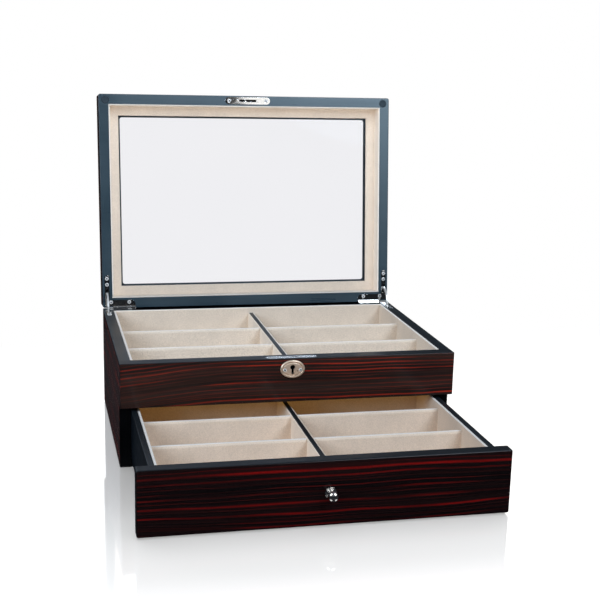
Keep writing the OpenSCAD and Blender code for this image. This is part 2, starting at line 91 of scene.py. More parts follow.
scene = bpy.context.scene

joint = next(j for j in frame["joints"] if j["name"] == "lid_hinge")
AXIS = Vector(joint["pos_m"])
CASE = Matrix.Identity(4)
LID = Matrix.Translation(AXIS) @ Matrix.Rotation(math.radians(-joint["range_deg"][1]), 4, "X") @ Matrix.Translation(-AXIS)
DRAWER = Matrix.Translation((0, -0.180, 0))


# ------------------------------------------------------------------ materials

class Tree:
    """A material's nodes, written as expressions."""

    def __init__(self, name):
        self.mat = bpy.data.materials.new(name)
        self.mat.use_nodes = True
        self.t = self.mat.node_tree
        self.t.nodes.clear()
        self.out = self.add("ShaderNodeOutputMaterial")

    def add(self, kind, **props):
        n = self.t.nodes.new(kind)
        for k, v in props.items():
            setattr(n, k, v)
        return n

    def put(self, socket, value):
        if isinstance(value, bpy.types.NodeSocket):
            self.t.links.new(value, socket)
        elif value is not None:
            socket.default_value = value

    def math(self, op, a, b=None, clamp=False):
        n = self.add("ShaderNodeMath", operation=op, use_clamp=clamp)
        self.put(n.inputs[0], a)
        self.put(n.inputs[1], b)
        return n.outputs[0]

    def total(self, *terms):
        s = terms[0]
        for x in terms[1:]:
            s = self.math("ADD", s, x)
        return s

    def times(self, *terms):
        s = terms[0]
        for x in terms[1:]:
            s = self.math("MULTIPLY", s, x)
        return s

    def coords(self):
        n = self.add("ShaderNodeSeparateXYZ")
        self.put(n.inputs[0], self.add("ShaderNodeTexCoord").outputs["Object"])
        return n.outputs

    def point(self, x, y, z):
        n = self.add("ShaderNodeCombineXYZ")
        for s, v in zip(n.inputs, (x, y, z)):
            self.put(s, v)
        return n.outputs[0]

    def noise(self, vec, scale=1.0, detail=2.0, rough=0.5, dist=0.0):
        n = self.add("ShaderNodeTexNoise", noise_dimensions="3D")
        self.put(n.inputs["Vector"], vec)
        self.put(n.inputs["Scale"], scale)
        self.put(n.inputs["Detail"], detail)
        self.put(n.inputs["Roughness"], rough)
        self.put(n.inputs["Distortion"], dist)
        return n.outputs["Fac"]

    def fit(self, v, a, b, c=0.0, d=1.0, smooth=False):
        n = self.add("ShaderNodeMapRange", clamp=True, interpolation_type="SMOOTHSTEP" if smooth else "LINEAR")
        for s, x in zip(n.inputs, (v, a, b, c, d)):
            self.put(s, x)
        return n.outputs[0]

    def mix(self, fac, a, b, blend="MIX"):
        n = self.add("ShaderNodeMix", data_type="RGBA", blend_type=blend, clamp_factor=True)
        self.put(n.inputs[0], fac)
        self.put(n.inputs[6], (*a, 1.0) if isinstance(a, tuple) else a)
        self.put(n.inputs[7], (*b, 1.0) if isinstance(b, tuple) else b)
        return n.outputs[2]

    def ramp(self, fac, stops, interp="EASE"):
        n = self.add("ShaderNodeValToRGB")
        n.color_ramp.interpolation = interp
        e = n.color_ramp.elements
        while len(e) < len(stops):
            e.new(0.5)
        for el, (p, v) in zip(e, stops):
            el.position = p
            el.color = (v, v, v, 1)
        self.put(n.inputs[0], fac)
        return n.outputs[0]

    def bump(self, height, strength, distance):
        n = self.add("ShaderNodeBump")
        self.put(n.inputs["Strength"], strength)
        self.put(n.inputs["Distance"], distance)
        self.put(n.inputs["Height"], height)
        return n.outputs[0]

    def surface(self, **inputs):
        n = self.add("ShaderNodeBsdfPrincipled")
        for k, v in inputs.items():
            s = n.inputs[k.replace("_", " ")] if k != "Specular" else n.inputs["Specular IOR Level"]
            self.put(s, (*v, 1.0) if isinstance(v, tuple) else v)
        self.t.links.new(n.outputs[0], self.out.inputs["Surface"])
        return self.mat


def streak_stops(lines, span):
    """Ramp stops of soft streaks; each line is (place, half width, strength), in millimetres across the grain."""
    at = lambda mm: (mm * MM - span[0]) / (span[1] - span[0])
    stops = [(0.0, 0.0)]
    for place, half, strength in sorted(lines):
        lo = max(at(place - half), stops[-1][0] + 0.0005)
        stops += [(lo, 0.0), (max(at(place), lo + 0.0005), strength), (max(at(place + half), lo + 0.001), 0.0)]
    return stops


def veneer(name, along, across, span, lines, dark, brown, dim, red, seed, slope=0.0, bow=0.0, sag=0.0, figure=0.45, gloss=0.10, specular=0.2, peel=0.10, hold=0.10, fade=1.0, sway=1.0):
    """Macassar veneer under gloss lacquer. along and across are the axes of the grain; span is the
    range across the grain that holds the main streaks."""
    t = Tree(name)
    c = t.coords()
    u, v = c[along], c[across]
    third = c[3 - along - across]
    # the grain drifts, waves and ripples
    wave = t.noise(t.point(t.times(u, 3.1), t.times(v, 5.0), seed), 1.0, 1.0)
    ripple = t.noise(t.point(t.times(u, 11.0), t.times(v, 24.0), seed + 4.0), 1.0, 1.0)
    shiver = t.noise(t.point(t.times(u, 70.0), t.times(v, 240.0), seed + 8.0), 1.0, 1.0)
    w = t.total(
        v,
        t.times(t.math("SUBTRACT", wave, 0.5), 0.006 * sway),
        t.times(t.math("SUBTRACT", ripple, 0.5), 0.0042 * sway),
        t.times(t.math("SUBTRACT", shiver, 0.5), 0.0006 * sway),
        t.times(u, -slope),
    )
    if bow:
        near_end = t.fit(u, -0.06, -0.185)
        w = t.total(w, t.times(t.math("POWER", near_end, 1.6), bow))
    if sag:
        off = t.math("SUBTRACT", u, 0.02)
        w = t.math("SUBTRACT", w, t.times(off, off, t.fit(v, 0.038, 0.016, 0.0, sag)))
    deep = t.times(third, 90.0)
    # main streaks, which come and go along the board
    place = t.fit(w, span[0], span[1])
    come_go = t.fit(t.noise(t.point(t.times(u, 8.0), t.times(w, 85.0), seed + 12.0), 1.0, 1.5), 0.38, 0.64, hold, 1.0, True)
    frayed = t.fit(t.noise(t.point(t.times(u, 26.0 * sway), t.times(w, 1050.0), seed + 16.0), 1.0, 2.0), 0.30, 0.66, 0.55, 1.1)
    ramps = [t.ramp(place, streak_stops(lines[i::2], span)) for i in (0, 1)]
    main = t.times(t.math("MAXIMUM", *ramps), come_go, frayed)
    if fade < 1.0:
        main = t.times(main, t.fit(u, -0.165, -0.075, fade, 1.0, True))
    # fine streaks between them
    fine = t.noise(t.point(t.times(u, 5.0), t.times(w, 430.0), t.math("ADD", deep, seed + 20.0)), 1.0, 3.0, 0.6)
    thin = t.fit(fine, 0.52, 0.72, 0.0, figure)
    band = t.noise(t.point(t.times(u, 2.0), t.times(w, 75.0), t.math("ADD", deep, seed + 24.0)), 1.0, 2.0)
    pores = t.noise(t.point(t.times(u, 22.0), t.times(w, 1700.0), t.math("ADD", deep, seed + 28.0)), 1.0, 2.0, 0.6)
    colour = t.mix(t.fit(band, 0.36, 0.66), dark, brown)
    colour = t.mix(t.times(thin, t.fit(band, 0.30, 0.62, 0.35, 1.0)), colour, dim)
    colour = t.mix(main, colour, red)
    shade = t.fit(pores, 0.28, 0.60, 0.66, 1.08)
    colour = t.mix(1.0, colour, t.point(shade, shade, shade), "MULTIPLY")
    # lacquer: a faint orange peel over the pores
    skin = t.noise(t.point(c[0], c[1], c[2]), 210.0, 2.0)
    smear = t.noise(t.point(c[0], c[1], c[2]), 34.0, 3.0)
    height = t.total(t.times(skin, 0.6), t.times(pores, 0.25))
    return t.surface(
        Base_Color=colour,
        Roughness=t.fit(smear, 0.3, 0.7, gloss * 0.92, gloss * 1.12),
        Specular=specular,
        Normal=t.bump(height, peel, 0.00022),
    )


def lacquer(name, low, high, rough, along=0, specular=0.3, streak=0.0):
    """Sprayed satin lacquer with a soft drift of tone and a trace of rubbing marks along one axis."""
    t = Tree(name)
    c = t.coords()
    p = t.point(c[0], c[1], c[2])
    cloud = t.noise(p, 14.0, 3.0)
    speck = t.noise(p, 900.0, 2.0)
    k = [620.0, 620.0, 620.0]
    k[along] = 9.0
    rub = t.noise(t.point(t.times(c[0], k[0]), t.times(c[1], k[1]), t.times(c[2], k[2])), 1.0, 2.0)
    colour = t.mix(t.fit(cloud, 0.32, 0.68), low, high)
    tone = t.total(t.fit(speck, 0.3, 0.7, 0.94, 1.05), t.times(t.math("SUBTRACT", rub, 0.5), streak))
    colour = t.mix(1.0, colour, t.point(tone, tone, tone), "MULTIPLY")
    r = t.total(t.fit(cloud, 0.3, 0.7, rough * 0.85, rough * 1.15), t.times(t.math("SUBTRACT", rub, 0.5), 0.10))
    height = t.total(t.times(speck, 0.3), t.times(rub, 0.35))
    return t.surface(Base_Color=colour, Roughness=r, Specular=specular, Normal=t.bump(height, 0.08, 0.00025))


def suede(name, colour, pale, sheen=0.35, grain=1.0):
    """Short-napped microsuede: mottled nap, fine fibre grain and a pale bloom at glancing angles."""
    t = Tree(name)
    c = t.coords()
    p = t.point(c[0], c[1], c[2])
    fibre = t.noise(p, 2300.0, 2.0, 0.6)
    mottle = t.noise(p, 900.0, 3.0, 0.62)
    nap = t.noise(p, 46.0, 3.0, 0.55, 0.4)
    tone = t.total(
        t.fit(nap, 0.30, 0.70, 0.955, 1.03),
        t.times(t.math("SUBTRACT", mottle, 0.5), 0.28 * grain),
        t.times(t.math("SUBTRACT", fibre, 0.5), 0.20 * grain),
    )
    base = t.mix(t.fit(mottle, 0.35, 0.70), colour, pale)
    base = t.mix(1.0, base, t.point(tone, tone, tone), "MULTIPLY")
    height = t.total(t.times(fibre, 0.55), t.times(mottle, 0.9), t.times(nap, 0.3))
    return t.surface(
        Base_Color=base,
        Roughness=t.fit(fibre, 0.3, 0.7, 0.86, 0.97),
        Specular=0.12,
        Sheen_Weight=sheen,
        Sheen_Roughness=0.45,
        Sheen_Tint=(1.0, 0.97, 0.92),
        Normal=t.bump(height, 0.45, 0.00045),
    )


def felt(name, low, high):
    t = Tree(name)
    c = t.coords()
    p = t.point(c[0], c[1], c[2])
    wool = t.noise(p, 1300.0, 4.0, 0.65, 1.2)
    tuft = t.noise(p, 240.0, 3.0, 0.6)
    colour = t.mix(t.fit(wool, 0.3, 0.7), low, high)
    return t.surface(
        Base_Color=colour,
        Roughness=t.fit(tuft, 0.3, 0.7, 0.88, 1.0),
        Specular=0.08,
        Sheen_Weight=0.3,
        Sheen_Roughness=0.6,
        Normal=t.bump(t.total(wool, t.times(tuft, 0.6)), 0.6, 0.0006),
    )


def metal(name, low, high, rough, brushed=0.0, along=0, metallic=1.0):
    """Plated metal with a little handling haze; brushed adds fine lines along one axis."""
    t = Tree(name)
    c = t.coords()
    p = t.point(c[0], c[1], c[2])
    haze = t.noise(p, 120.0, 3.0, 0.6)
    k = [4200.0, 4200.0, 4200.0]
    k[along] = 60.0
    lines = t.noise(t.point(t.times(c[0], k[0]), t.times(c[1], k[1]), t.times(c[2], k[2])), 1.0, 2.0)
    colour = t.mix(t.fit(haze, 0.3, 0.7), low, high)
    r = t.total(t.fit(haze, 0.3, 0.7, rough * 0.7, rough * 1.5), t.times(t.math("SUBTRACT", lines, 0.5), brushed))
    return t.surface(
        Base_Color=colour,
        Metallic=metallic,
        Roughness=r,
        Normal=t.bump(t.total(t.times(lines, 0.3 + brushed), t.times(haze, 0.4)), 0.025, 0.0001),
    )


def rubber(name, low, high):
    t = Tree(name)
    c = t.coords()
    p = t.point(c[0], c[1], c[2])
    grit = t.noise(p, 2600.0, 3.0, 0.6)
    bloom = t.noise(p, 260.0, 2.0)
    return t.surface(
        Base_Color=t.mix(t.fit(bloom, 0.3, 0.7), low, high),
        Roughness=t.fit(grit, 0.3, 0.7, 0.55, 0.75),
        Specular=0.3,
        Normal=t.bump(grit, 0.25, 0.0002),
    )


def pane(name):
    """Clear float glass: straight through with a faint grey cast, mirror-bright at glancing angles."""
    t = Tree(name)
    c = t.coords()
    film = t.noise(t.point(c[0], c[1], c[2]), 9.0, 2.0)
    tint = t.mix(t.fit(film, 0.3, 0.7), (0.930, 0.930, 0.944), (0.934, 0.934, 0.947))
    clear = t.add("ShaderNodeBsdfTransparent")
    t.put(clear.inputs[0], tint)
    shine = t.add("ShaderNodeBsdfGlossy")
    t.put(shine.inputs["Color"], (0.9, 0.92, 0.94, 1))
    t.put(shine.inputs["Roughness"], t.fit(film, 0.3, 0.7, 0.0, 0.015))
    # the same on both faces of the pane, so that it stays clear from low down
    edge = t.add("ShaderNodeLayerWeight")
    t.put(edge.inputs["Blend"], 0.5)
    m = t.add("ShaderNodeMixShader")
    t.put(m.inputs[0], t.total(t.times(t.math("POWER", edge.outputs["Facing"], 5.0), 0.8), 0.0032))
    t.t.links.new(clear.outputs[0], m.inputs[1])
    t.t.links.new(shine.outputs[0], m.inputs[2])
    t.t.links.new(m.outputs[0], t.out.inputs["Surface"])
    return t.mat


# main streaks: place, half width and strength, in millimetres from the table up
UPPER_LINES = [(71 + a, b, c) for a, b, c in (
    (4.0, 1.2, 0.95), (8.3, 0.6, 0.35), (12.6, 0.6, 0.3), (17.0, 0.9, 0.34), (22.8, 1.2, 1.0), (26.9, 0.7, 0.4), (30.3, 0.7, 0.4),
    (34.0, 1.1, 0.9), (37.9, 0.7, 0.4), (42.0, 1.2, 1.0), (46.6, 0.8, 0.5), (50.6, 1.1, 0.9), (54.4, 0.7, 0.5), (58.0, 1.0, 0.7),
)]
DRAWER_LINES = [
    (3.6, 1.3, 0.45), (8.1, 0.8, 0.22), (11.3, 0.8, 0.22), (15.6, 1.7, 1.0), (22.6, 0.7, 0.18), (26.9, 2.0, 0.75), (33.0, 0.8, 0.22),
    (37.9, 1.5, 0.55), (43.1, 0.9, 0.40), (48.0, 0.7, 0.15), (53.2, 1.4, 0.60), (59.8, 2.1, 1.0), (64.6, 0.8, 0.2),
]
SIDE_LINES = [
    (11.0, 3.6, 0.8), (21.0, 1.6, 0.35), (32.5, 3.4, 0.7), (44.0, 1.5, 0.3), (56.0, 2.2, 0.5), (67.5, 3.6, 0.85), (80.0, 1.6, 0.3),
    (93.5, 3.4, 1.0), (103.0, 1.6, 0.35), (113.0, 2.4, 0.6), (126.0, 2.2, 0.6), (135.0, 1.6, 0.4), (142.0, 2.4, 0.7), (150.0, 1.8, 0.5),
]
LENGTH_LINES = [(8 + 16.0 * i, 0.8 + 0.3 * (i % 3), 0.4 + 0.18 * (i % 4)) for i in range(10)]
TOP_LINES = [(-124 + 24.0 * i, 1.1 + 0.5 * (i % 3), 0.4 + 0.18 * (i % 4)) for i in range(11)]
FRONT = veneer("veneer_upper_front", 0, 2, (0.071, 0.132), UPPER_LINES, (0.0126, 0.0086, 0.0075), (0.0285, 0.0156, 0.0121),
               (0.110, 0.019, 0.012), (0.39, 0.025, 0.010), 3.7, -0.003, 0.0105, 0.0, 0.46, fade=0.5)
DRAWER_FRONT = veneer("veneer_drawer_front", 0, 2, (0.0, 0.0690), DRAWER_LINES, (0.0030, 0.0022, 0.0024), (0.0075, 0.0030, 0.0030),
                      (0.040, 0.0026, 0.0026), (0.165, 0.0026, 0.0022), 11.3, 0.0, 0.0, 0.138, 0.34, 0.15, 0.12)
SIDE = veneer("veneer_sides", 1, 2, (0.0, 0.157), SIDE_LINES, (0.0175, 0.0120, 0.0115), (0.029, 0.0143, 0.0123),
              (0.100, 0.0165, 0.0120), (0.270, 0.019, 0.011), 21.9, 0.0, 0.0, 0.0, 0.5, 0.16, 0.022, 0.03, hold=0.40, sway=0.7)
LENGTH = veneer("veneer_back_and_lid", 0, 2, (0.0, 0.160), LENGTH_LINES,
                (0.0105, 0.0072, 0.0064), (0.022, 0.0120, 0.0098), (0.090, 0.016, 0.011), (0.28, 0.026, 0.014), 31.1, 0.003, 0.0, 0.0, 0.6)
TOP = veneer("veneer_lid_top", 0, 1, (-0.132, 0.132), TOP_LINES,
             (0.0105, 0.0072, 0.0064), (0.022, 0.0120, 0.0098), (0.090, 0.016, 0.011), (0.28, 0.026, 0.014), 44.4, 0.003, 0.0, 0.0, 0.6)

SLATE = lacquer("slate_lacquer", (0.010, 0.024, 0.034), (0.014, 0.031, 0.042), 0.33, 0, 0.75, 0.25)
# painted shade: a darker, greyer copy of the slate lacquer for the case's front rim and the top of the drawer front
RIM_PAINTED_SHADE = lacquer("slate_lacquer_rim_painted_shade", (0.0128, 0.0152, 0.0175), (0.0175, 0.0200, 0.0228), 0.34, 0, 0.15, 0.35)
SLATE_Y = lacquer("slate_lacquer_side", (0.011, 0.015, 0.018), (0.015, 0.019, 0.023), 0.34, 1, 0.25, 0.25)
BLACK = lacquer("black_lacquer", (0.0014, 0.0015, 0.0020), (0.0028, 0.0030, 0.0038), 0.34, 0, 0.15, 0.15)
# painted light: a paler copy of the slate lacquer for the cut faces round the window, which sit in shade
SLATE_PAINTED_LIGHT = lacquer("slate_lacquer_window_painted_light", (0.050, 0.060, 0.066), (0.066, 0.078, 0.086), 0.34, 0, 0.5, 0.2)
# painted shade: matt black for the top of the back rim, standing for the shade under the lid's rear rail
SHADE_BLACK = lacquer("matt_black_painted_shade", (0.0008, 0.0009, 0.0012), (0.0016, 0.0018, 0.0023), 0.62, 0, 0.0, 0.2)
NAVY = lacquer("blue_black_lacquer", (0.0045, 0.0072, 0.0105), (0.0075, 0.0115, 0.0165), 0.32, 1, 0.25, 0.2)
SUEDE = suede("cream_suede", (0.75, 0.592, 0.452), (0.80, 0.640, 0.496))
SUEDE_TRAY = suede("pale_cream_suede", (0.738, 0.617, 0.492), (0.785, 0.665, 0.538), 0.35, 2.2)
# painted highlight: a paler copy of the cream suede, laid on the upward tops and edges of the linings and boards so
# that they look lit from above
SUEDE_PAINTED_HIGHLIGHT = suede("cream_suede_painted_highlight", (0.89, 0.800, 0.700), (0.93, 0.845, 0.750), 0.5, 0.6)
SUEDE_LID = suede("peach_suede", (0.82, 0.685, 0.550), (0.87, 0.735, 0.600), 0.35, 0.7)
FELT = felt("black_felt", (0.010, 0.010, 0.012), (0.030, 0.030, 0.034))
NICKEL = metal("bright_nickel", (0.80, 0.79, 0.76), (0.88, 0.87, 0.85), 0.06)
# partly painted reflection: satin nickel whose warm tan tone stands for the warm surroundings that the keyhole plate
# mirrors
SATIN_WARM_REFLECTION = metal("satin_nickel_painted_warm_reflection", (0.68, 0.515, 0.375), (0.77, 0.59, 0.44), 0.30, 0.08, 0, 0.6)
SCREW = metal("screw_nickel", (0.89, 0.87, 0.83), (0.95, 0.93, 0.90), 0.36, 0.05, 0, 0.5)
STAY = metal("stay_nickel", (0.84, 0.81, 0.76), (0.91, 0.88, 0.84), 0.30, 0.05, 1, 0.6)
# blackened steel for the lock case, and painted shade lining the cross slots of the screws and nails
DARK_STEEL_AND_SLOT_SHADE = metal("blackened_steel_and_slot_shade", (0.020, 0.020, 0.021), (0.035, 0.035, 0.036), 0.40, 0.10)
STEEL = metal("zinc_steel", (0.50, 0.51, 0.52), (0.60, 0.61, 0.62), 0.28, 0.12)
RUBBER = rubber("slate_rubber", (0.012, 0.020, 0.026), (0.018, 0.028, 0.036))
GLASS = pane("window_glass")


# ------------------------------------------------------------------ shapes

def solid(node, at=CASE):
    """The CAD node's shape as clean faces, in the frame that `at` carries to the rest pose."""
    me = NODES[node].data
    back = at.inverted()
    bm = bmesh.new()
    vs = [bm.verts.new(back @ v.co) for v in me.vertices]
    for p in me.polygons:
        if len(set(p.vertices)) == len(p.vertices):
            try:
                bm.faces.new([vs[i] for i in p.vertices])
            except ValueError:
                pass
    bmesh.ops.remove_doubles(bm, verts=bm.verts[:], dist=4e-6)
    bmesh.ops.dissolve_degenerate(bm, dist=1e-6, edges=bm.edges[:])
    bmesh.ops.recalc_face_normals(bm, faces=bm.faces[:])
    bmesh.ops.dissolve_limit(bm, angle_limit=math.radians(0.5), verts=bm.verts[:], edges=bm.edges[:])
    return bm


def on(e, axis, value, tol=4e-5):
    return all(abs(v.co[axis] - value) < tol for v in e.verts)


def turn(e):
    """How sharply the two faces of an edge turn outwards, in degrees."""
    return math.degrees(e.calc_face_angle_signed(0.0)) if len(e.link_faces) == 2 else 0.0


def round_edges(bm, pick, width, steps=3):
    edges = [e for e in bm.edges if turn(e) > 25 and pick(e)]
    if edges:
        bmesh.ops.bevel(bm, geom=edges, offset=width, offset_type="OFFSET", segments=steps, profile=0.5, affect="EDGES", clamp_overlap=True)
    return len(edges)


def piece(name, bm, mats, body, at=CASE, rule=None, stands_for=(), crease=32.0):
    """Makes the mesh an object that rides on its body and stands for its CAD nodes."""
    bm.normal_update()
    if rule:
        for f in bm.faces:
            f.material_index = rule(f.normal, f.calc_center_median())
    me = bpy.data.meshes.new(name)
    bm.to_mesh(me)
    bm.free()
    for m in mats:
        me.materials.append(m)
    me.polygons.foreach_set("use_smooth", [True] * len(me.polygons))
    me.set_sharp_from_angle(angle=math.radians(crease))
    ob = bpy.data.objects.new(name, me)
    scene.collection.objects.link(ob)
    ob.matrix_world = at
    wn = ob.modifiers.new("even_faces", "WEIGHTED_NORMAL")
    wn.keep_sharp = True
    wn.weight = 70
    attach(ob, body)
    if stands_for:
        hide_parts(*stands_for)
    return ob


def cut(ob, cutter, inner=0):
    """Takes the cutter's volume out of the object; inner is the material slot of the cut faces."""
    for f in cutter.faces:
        f.material_index = inner
    me = bpy.data.meshes.new("cutter")
    cutter.to_mesh(me)
    cutter.free()
    for m in ob.data.materials:
        me.materials.append(m)
    c = bpy.data.objects.new("cutter", me)
    scene.collection.objects.link(c)
    c.matrix_world = ob.matrix_world
    m = ob.modifiers.new("cut", "BOOLEAN")
    m.operation, m.solver, m.object = "DIFFERENCE", "EXACT", c
    while ob.modifiers.find("cut") > 0:
        ob.modifiers.move(ob.modifiers.find("cut"), 0)
    shown = ob.modifiers["even_faces"].show_viewport
    ob.modifiers["even_faces"].show_viewport = False
    bpy.context.view_layer.update()
    made = bpy.data.meshes.new_from_object(ob.evaluated_get(bpy.context.evaluated_depsgraph_get()))
    ob.modifiers.remove(m)
    ob.modifiers["even_faces"].show_viewport = shown
    ob.data = made
    made.polygons.foreach_set("use_smooth", [True] * len(made.polygons))
    made.set_sharp_from_angle(angle=math.radians(32))
    bpy.data.objects.remove(c)


def add_box(bm, lo, hi):
    vs = [bm.verts.new((x, y, z)) for x in (lo[0], hi[0]) for y in (lo[1], hi[1]) for z in (lo[2], hi[2])]
    for q in ((0, 1, 3, 2), (4, 6, 7, 5), (0, 4, 5, 1), (2, 3, 7, 6), (0, 2, 6, 4), (1, 5, 7, 3)):
        bm.faces.new([vs[i] for i in q])
    return vs


def add_cross(bm, reach, half, place, low, high):
    """A cross-shaped prism from low to high; place maps (x, y, height)."""
    ring = [(reach, -half), (reach, half), (half, half), (half, reach), (-half, reach), (-half, half),
            (-reach, half), (-reach, -half), (-half, -half), (-half, -reach), (half, -reach), (half, -half)]
    a = [bm.verts.new(place(x, y, low)) for x, y in ring]
    b = [bm.verts.new(place(x, y, high)) for x, y in ring]
    for i in range(12):
        j = (i + 1) % 12
        bm.faces.new((a[i], a[j], b[j], b[i]))
    bm.faces.new(a[::-1])
    bm.faces.new(b)


def add_turned(bm, profile, place, steps=48, squash=(1.0, 1.0)):
    """A turned shape: profile is (radius, height) from the axis outwards and back; place maps (x, y, height)."""
    rings = []
    for r, h in profile:
        if r < 1e-9:
            rings.append([bm.verts.new(place(0.0, 0.0, h))])
        else:
            rings.append([
                bm.verts.new(place(r * squash[0] * math.cos(2 * math.pi * i / steps), r * squash[1] * math.sin(2 * math.pi * i / steps), h))
                for i in range(steps)
            ])
    for a, b in zip(rings, rings[1:]):
        for i in range(steps):
            j = (i + 1) % steps
            if len(a) == 1 and len(b) > 1:
                bm.faces.new((a[0], b[j], b[i]))
            elif len(b) == 1 and len(a) > 1:
                bm.faces.new((a[i], a[j], b[0]))
            elif len(a) > 1:
                bm.faces.new((a[i], a[j], b[j], b[i]))
    return rings


def add_cover(bm, along, lo, hi, r, seed, flip=False, wave=0.00022, pitch=0.007, steps=7, foot=0.0):
    """A suede-covered board: its two long upper edges roll over by r, and its top line wavers slightly,
    as a covered edge does. flip rolls the lower edges instead."""
    side = 1 - along
    a0, a1 = lo[side], hi[side]
    z0, z1 = (hi[2], lo[2]) if flip else (lo[2], hi[2])
    up = -1.0 if flip else 1.0
    r = min(r, (a1 - a0) / 2 - 2e-5)
    tall = abs(z1 - z0)
    section = [(a0 + foot, 0.0), (a1 - foot, 0.0), (a1, foot + 1e-5), (a1, tall * 0.5)]
    section += [(a1 - r + r * math.cos(q), tall - r + r * math.sin(q)) for q in (math.pi / 2 * i / steps for i in range(steps + 1))]
    section += [(a0 + r + r * math.cos(q), tall - r + r * math.sin(q)) for q in (math.pi / 2 * (1 + i / steps) for i in range(steps + 1))]
    section += [(a0, tall * 0.5), (a0, foot + 1e-5)]
    length = hi[along] - lo[along]
    count = max(2, round(length / pitch))
    rings = []
    for k in range(count + 1):
        s = lo[along] + length * k / count
        sag = wave * (0.5 + 0.5 * noise.noise(Vector((s * 31.0, seed, 0.3))))
        slim = wave * 0.5 * (0.5 + 0.5 * noise.noise(Vector((s * 23.0, seed + 5.1, 0.7))))
        ring = []
        for a, h in section:
            top = h > tall * 0.6
            mid = (a0 + a1) / 2
            aa = a + (slim if a < mid else -slim) * (1.0 if top else 0.0)
            hh = h - (sag if top else 0.0)
            co = [0.0, 0.0, z0 + up * hh]
            co[along], co[side] = s, aa
            ring.append(bm.verts.new(co))
        rings.append(ring)
    n = len(section)
    for p, q in zip(rings, rings[1:]):
        for i in range(n):
            bm.faces.new((p[i], p[(i + 1) % n], q[(i + 1) % n], q[i]))
    bm.faces.new(rings[0][::-1])
    bm.faces.new(rings[-1])


def bound(bm):
    bmesh.ops.recalc_face_normals(bm, faces=bm.faces[:])
    return bm


def shut(node, at):
    """Lowest and highest corner of a CAD node, and of each of its separate solids, in the shut frame."""
    bm = solid(node, at)
    left, parts = set(bm.verts), []
    while left:
        todo, seen = [left.pop()], []
        while todo:
            v = todo.pop()
            seen.append(v)
            for e in v.link_edges:
                o = e.other_vert(v)
                if o in left:
                    left.discard(o)
                    todo.append(o)
        lo = Vector([min(v.co[i] for v in seen) for i in range(3)])
        hi = Vector([max(v.co[i] for v in seen) for i in range(3)])
        parts.append((lo, hi))
    bm.free()
    return sorted(parts, key=lambda p: (round(p[0].x, 4), round(p[0].y, 4)))


def dress(node, material, bevel=0.0, steps=2):
    """Gives a CAD node that is shown as it is its finish, and eases its edges."""
    ob = NODES[node]
    ob.data.materials.clear()
    ob.data.materials.append(material)
    w = ob.modifiers.new("weld", "WELD")
    w.merge_threshold = 4e-6
    if bevel:
        b = ob.modifiers.new("ease", "BEVEL")
        b.width, b.segments, b.limit_method, b.angle_limit = bevel, steps, "ANGLE", math.radians(38)
        b.use_clamp_overlap = True
        b.harden_normals = False
    wn = ob.modifiers.new("even_faces", "WEIGHTED_NORMAL")
    wn.keep_sharp = False


# ------------------------------------------------------------------ case

X, Y, Z = 0, 1, 2
XO = abs(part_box("left_side_panel")[0].x)              # outer face of the sides
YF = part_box("upper_front_panel")[0].y                 # front face
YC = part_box("upper_front_panel")[1].y                 # front end of the sides
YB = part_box("back_panel")[1].y                        # rear face
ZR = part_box("upper_front_panel")[1].z                 # rim
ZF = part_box("upper_front_panel")[0].z                 # lower edge of the upper front
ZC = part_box("left_side_panel")[0].z                   # foot of the sides

for tag, s in (("left", -1.0), ("right", 1.0)):
    bm = solid(f"{tag}_side_panel")
    # the front end is eased only below the upper front, which carries on flush
    bmesh.ops.bisect_plane(bm, geom=bm.verts[:] + bm.edges[:] + bm.faces[:], plane_co=(0, 0, ZF), plane_no=(0, 0, 1), dist=1e-6)
    round_edges(bm, lambda e: on(e, X, s * XO) and (on(e, Z, ZR) or on(e, Z, ZC) or on(e, Y, YB) or (on(e, Y, YC) and max(v.co.z for v in e.verts) < ZF + 1e-4)), 0.0010)

    def rule(n, c, s=s):
        if n.x * s > 0.75 and abs(c.x) > XO - 1e-4:
            return 0
        if n.y > 0.75 and c.y > YB - 1e-4:
            return 3
        if n.z > 0.3 and c.z > ZR - 0.0013:
            return 1
        return 2
    piece(f"side_{tag}", bm, [SIDE, SLATE_Y, BLACK, LENGTH], "case", CASE, rule, [f"{tag}_side_panel"])

bm = solid("upper_front_panel")
round_edges(bm, lambda e: on(e, Y, YF) and (on(e, X, XO) or on(e, X, -XO) or on(e, Z, ZR) or on(e, Z, ZF)) or ((on(e, X, XO) or on(e, X, -XO)) and (on(e, Z, ZR) or on(e, Z, ZF))), 0.0010)


def rule(n, c):
    if n.y < -0.75 and c.y < YF + 1e-4:
        return 0
    if n.z > 0.3 and c.z > ZR - 0.0013:
        return 1
    if abs(n.x) > 0.75 and abs(c.x) > XO - 1e-4:
        return 3
    return 2


piece("front_upper", bm, [FRONT, RIM_PAINTED_SHADE, BLACK, SIDE], "case", CASE, rule, ["upper_front_panel"])

bm = solid("back_panel")
round_edges(bm, lambda e: on(e, Y, YB) and on(e, Z, ZC), 0.0010)
# painted shade: the top of the back is raised 0.35 mm and laid in matt black, closing the view through the hinge gap
# under the lid's rear rail
for v in bm.verts:
    if v.co.z > ZR - 1e-5:
        v.co.z += 0.00035
piece("back", bm, [LENGTH, SHADE_BLACK, BLACK], "case", CASE, lambda n, c: 0 if n.y > 0.75 and c.y > YB - 1e-4 else 1 if n.z > 0.5 and c.z > ZR - 1e-4 else 2, ["back_panel"])

for node in ("base_panel", "tray_floor_panel"):
    bm = solid(node)
    round_edges(bm, lambda e: True, 0.0004, 2)
    piece(node.replace("_panel", "_board"), bm, [BLACK], "case", CASE, None, [node])

bm = solid("base_felt")
round_edges(bm, lambda e: True, 0.0003, 2)
piece("felt_base", bm, [FELT], "case", CASE, None, ["base_felt"])

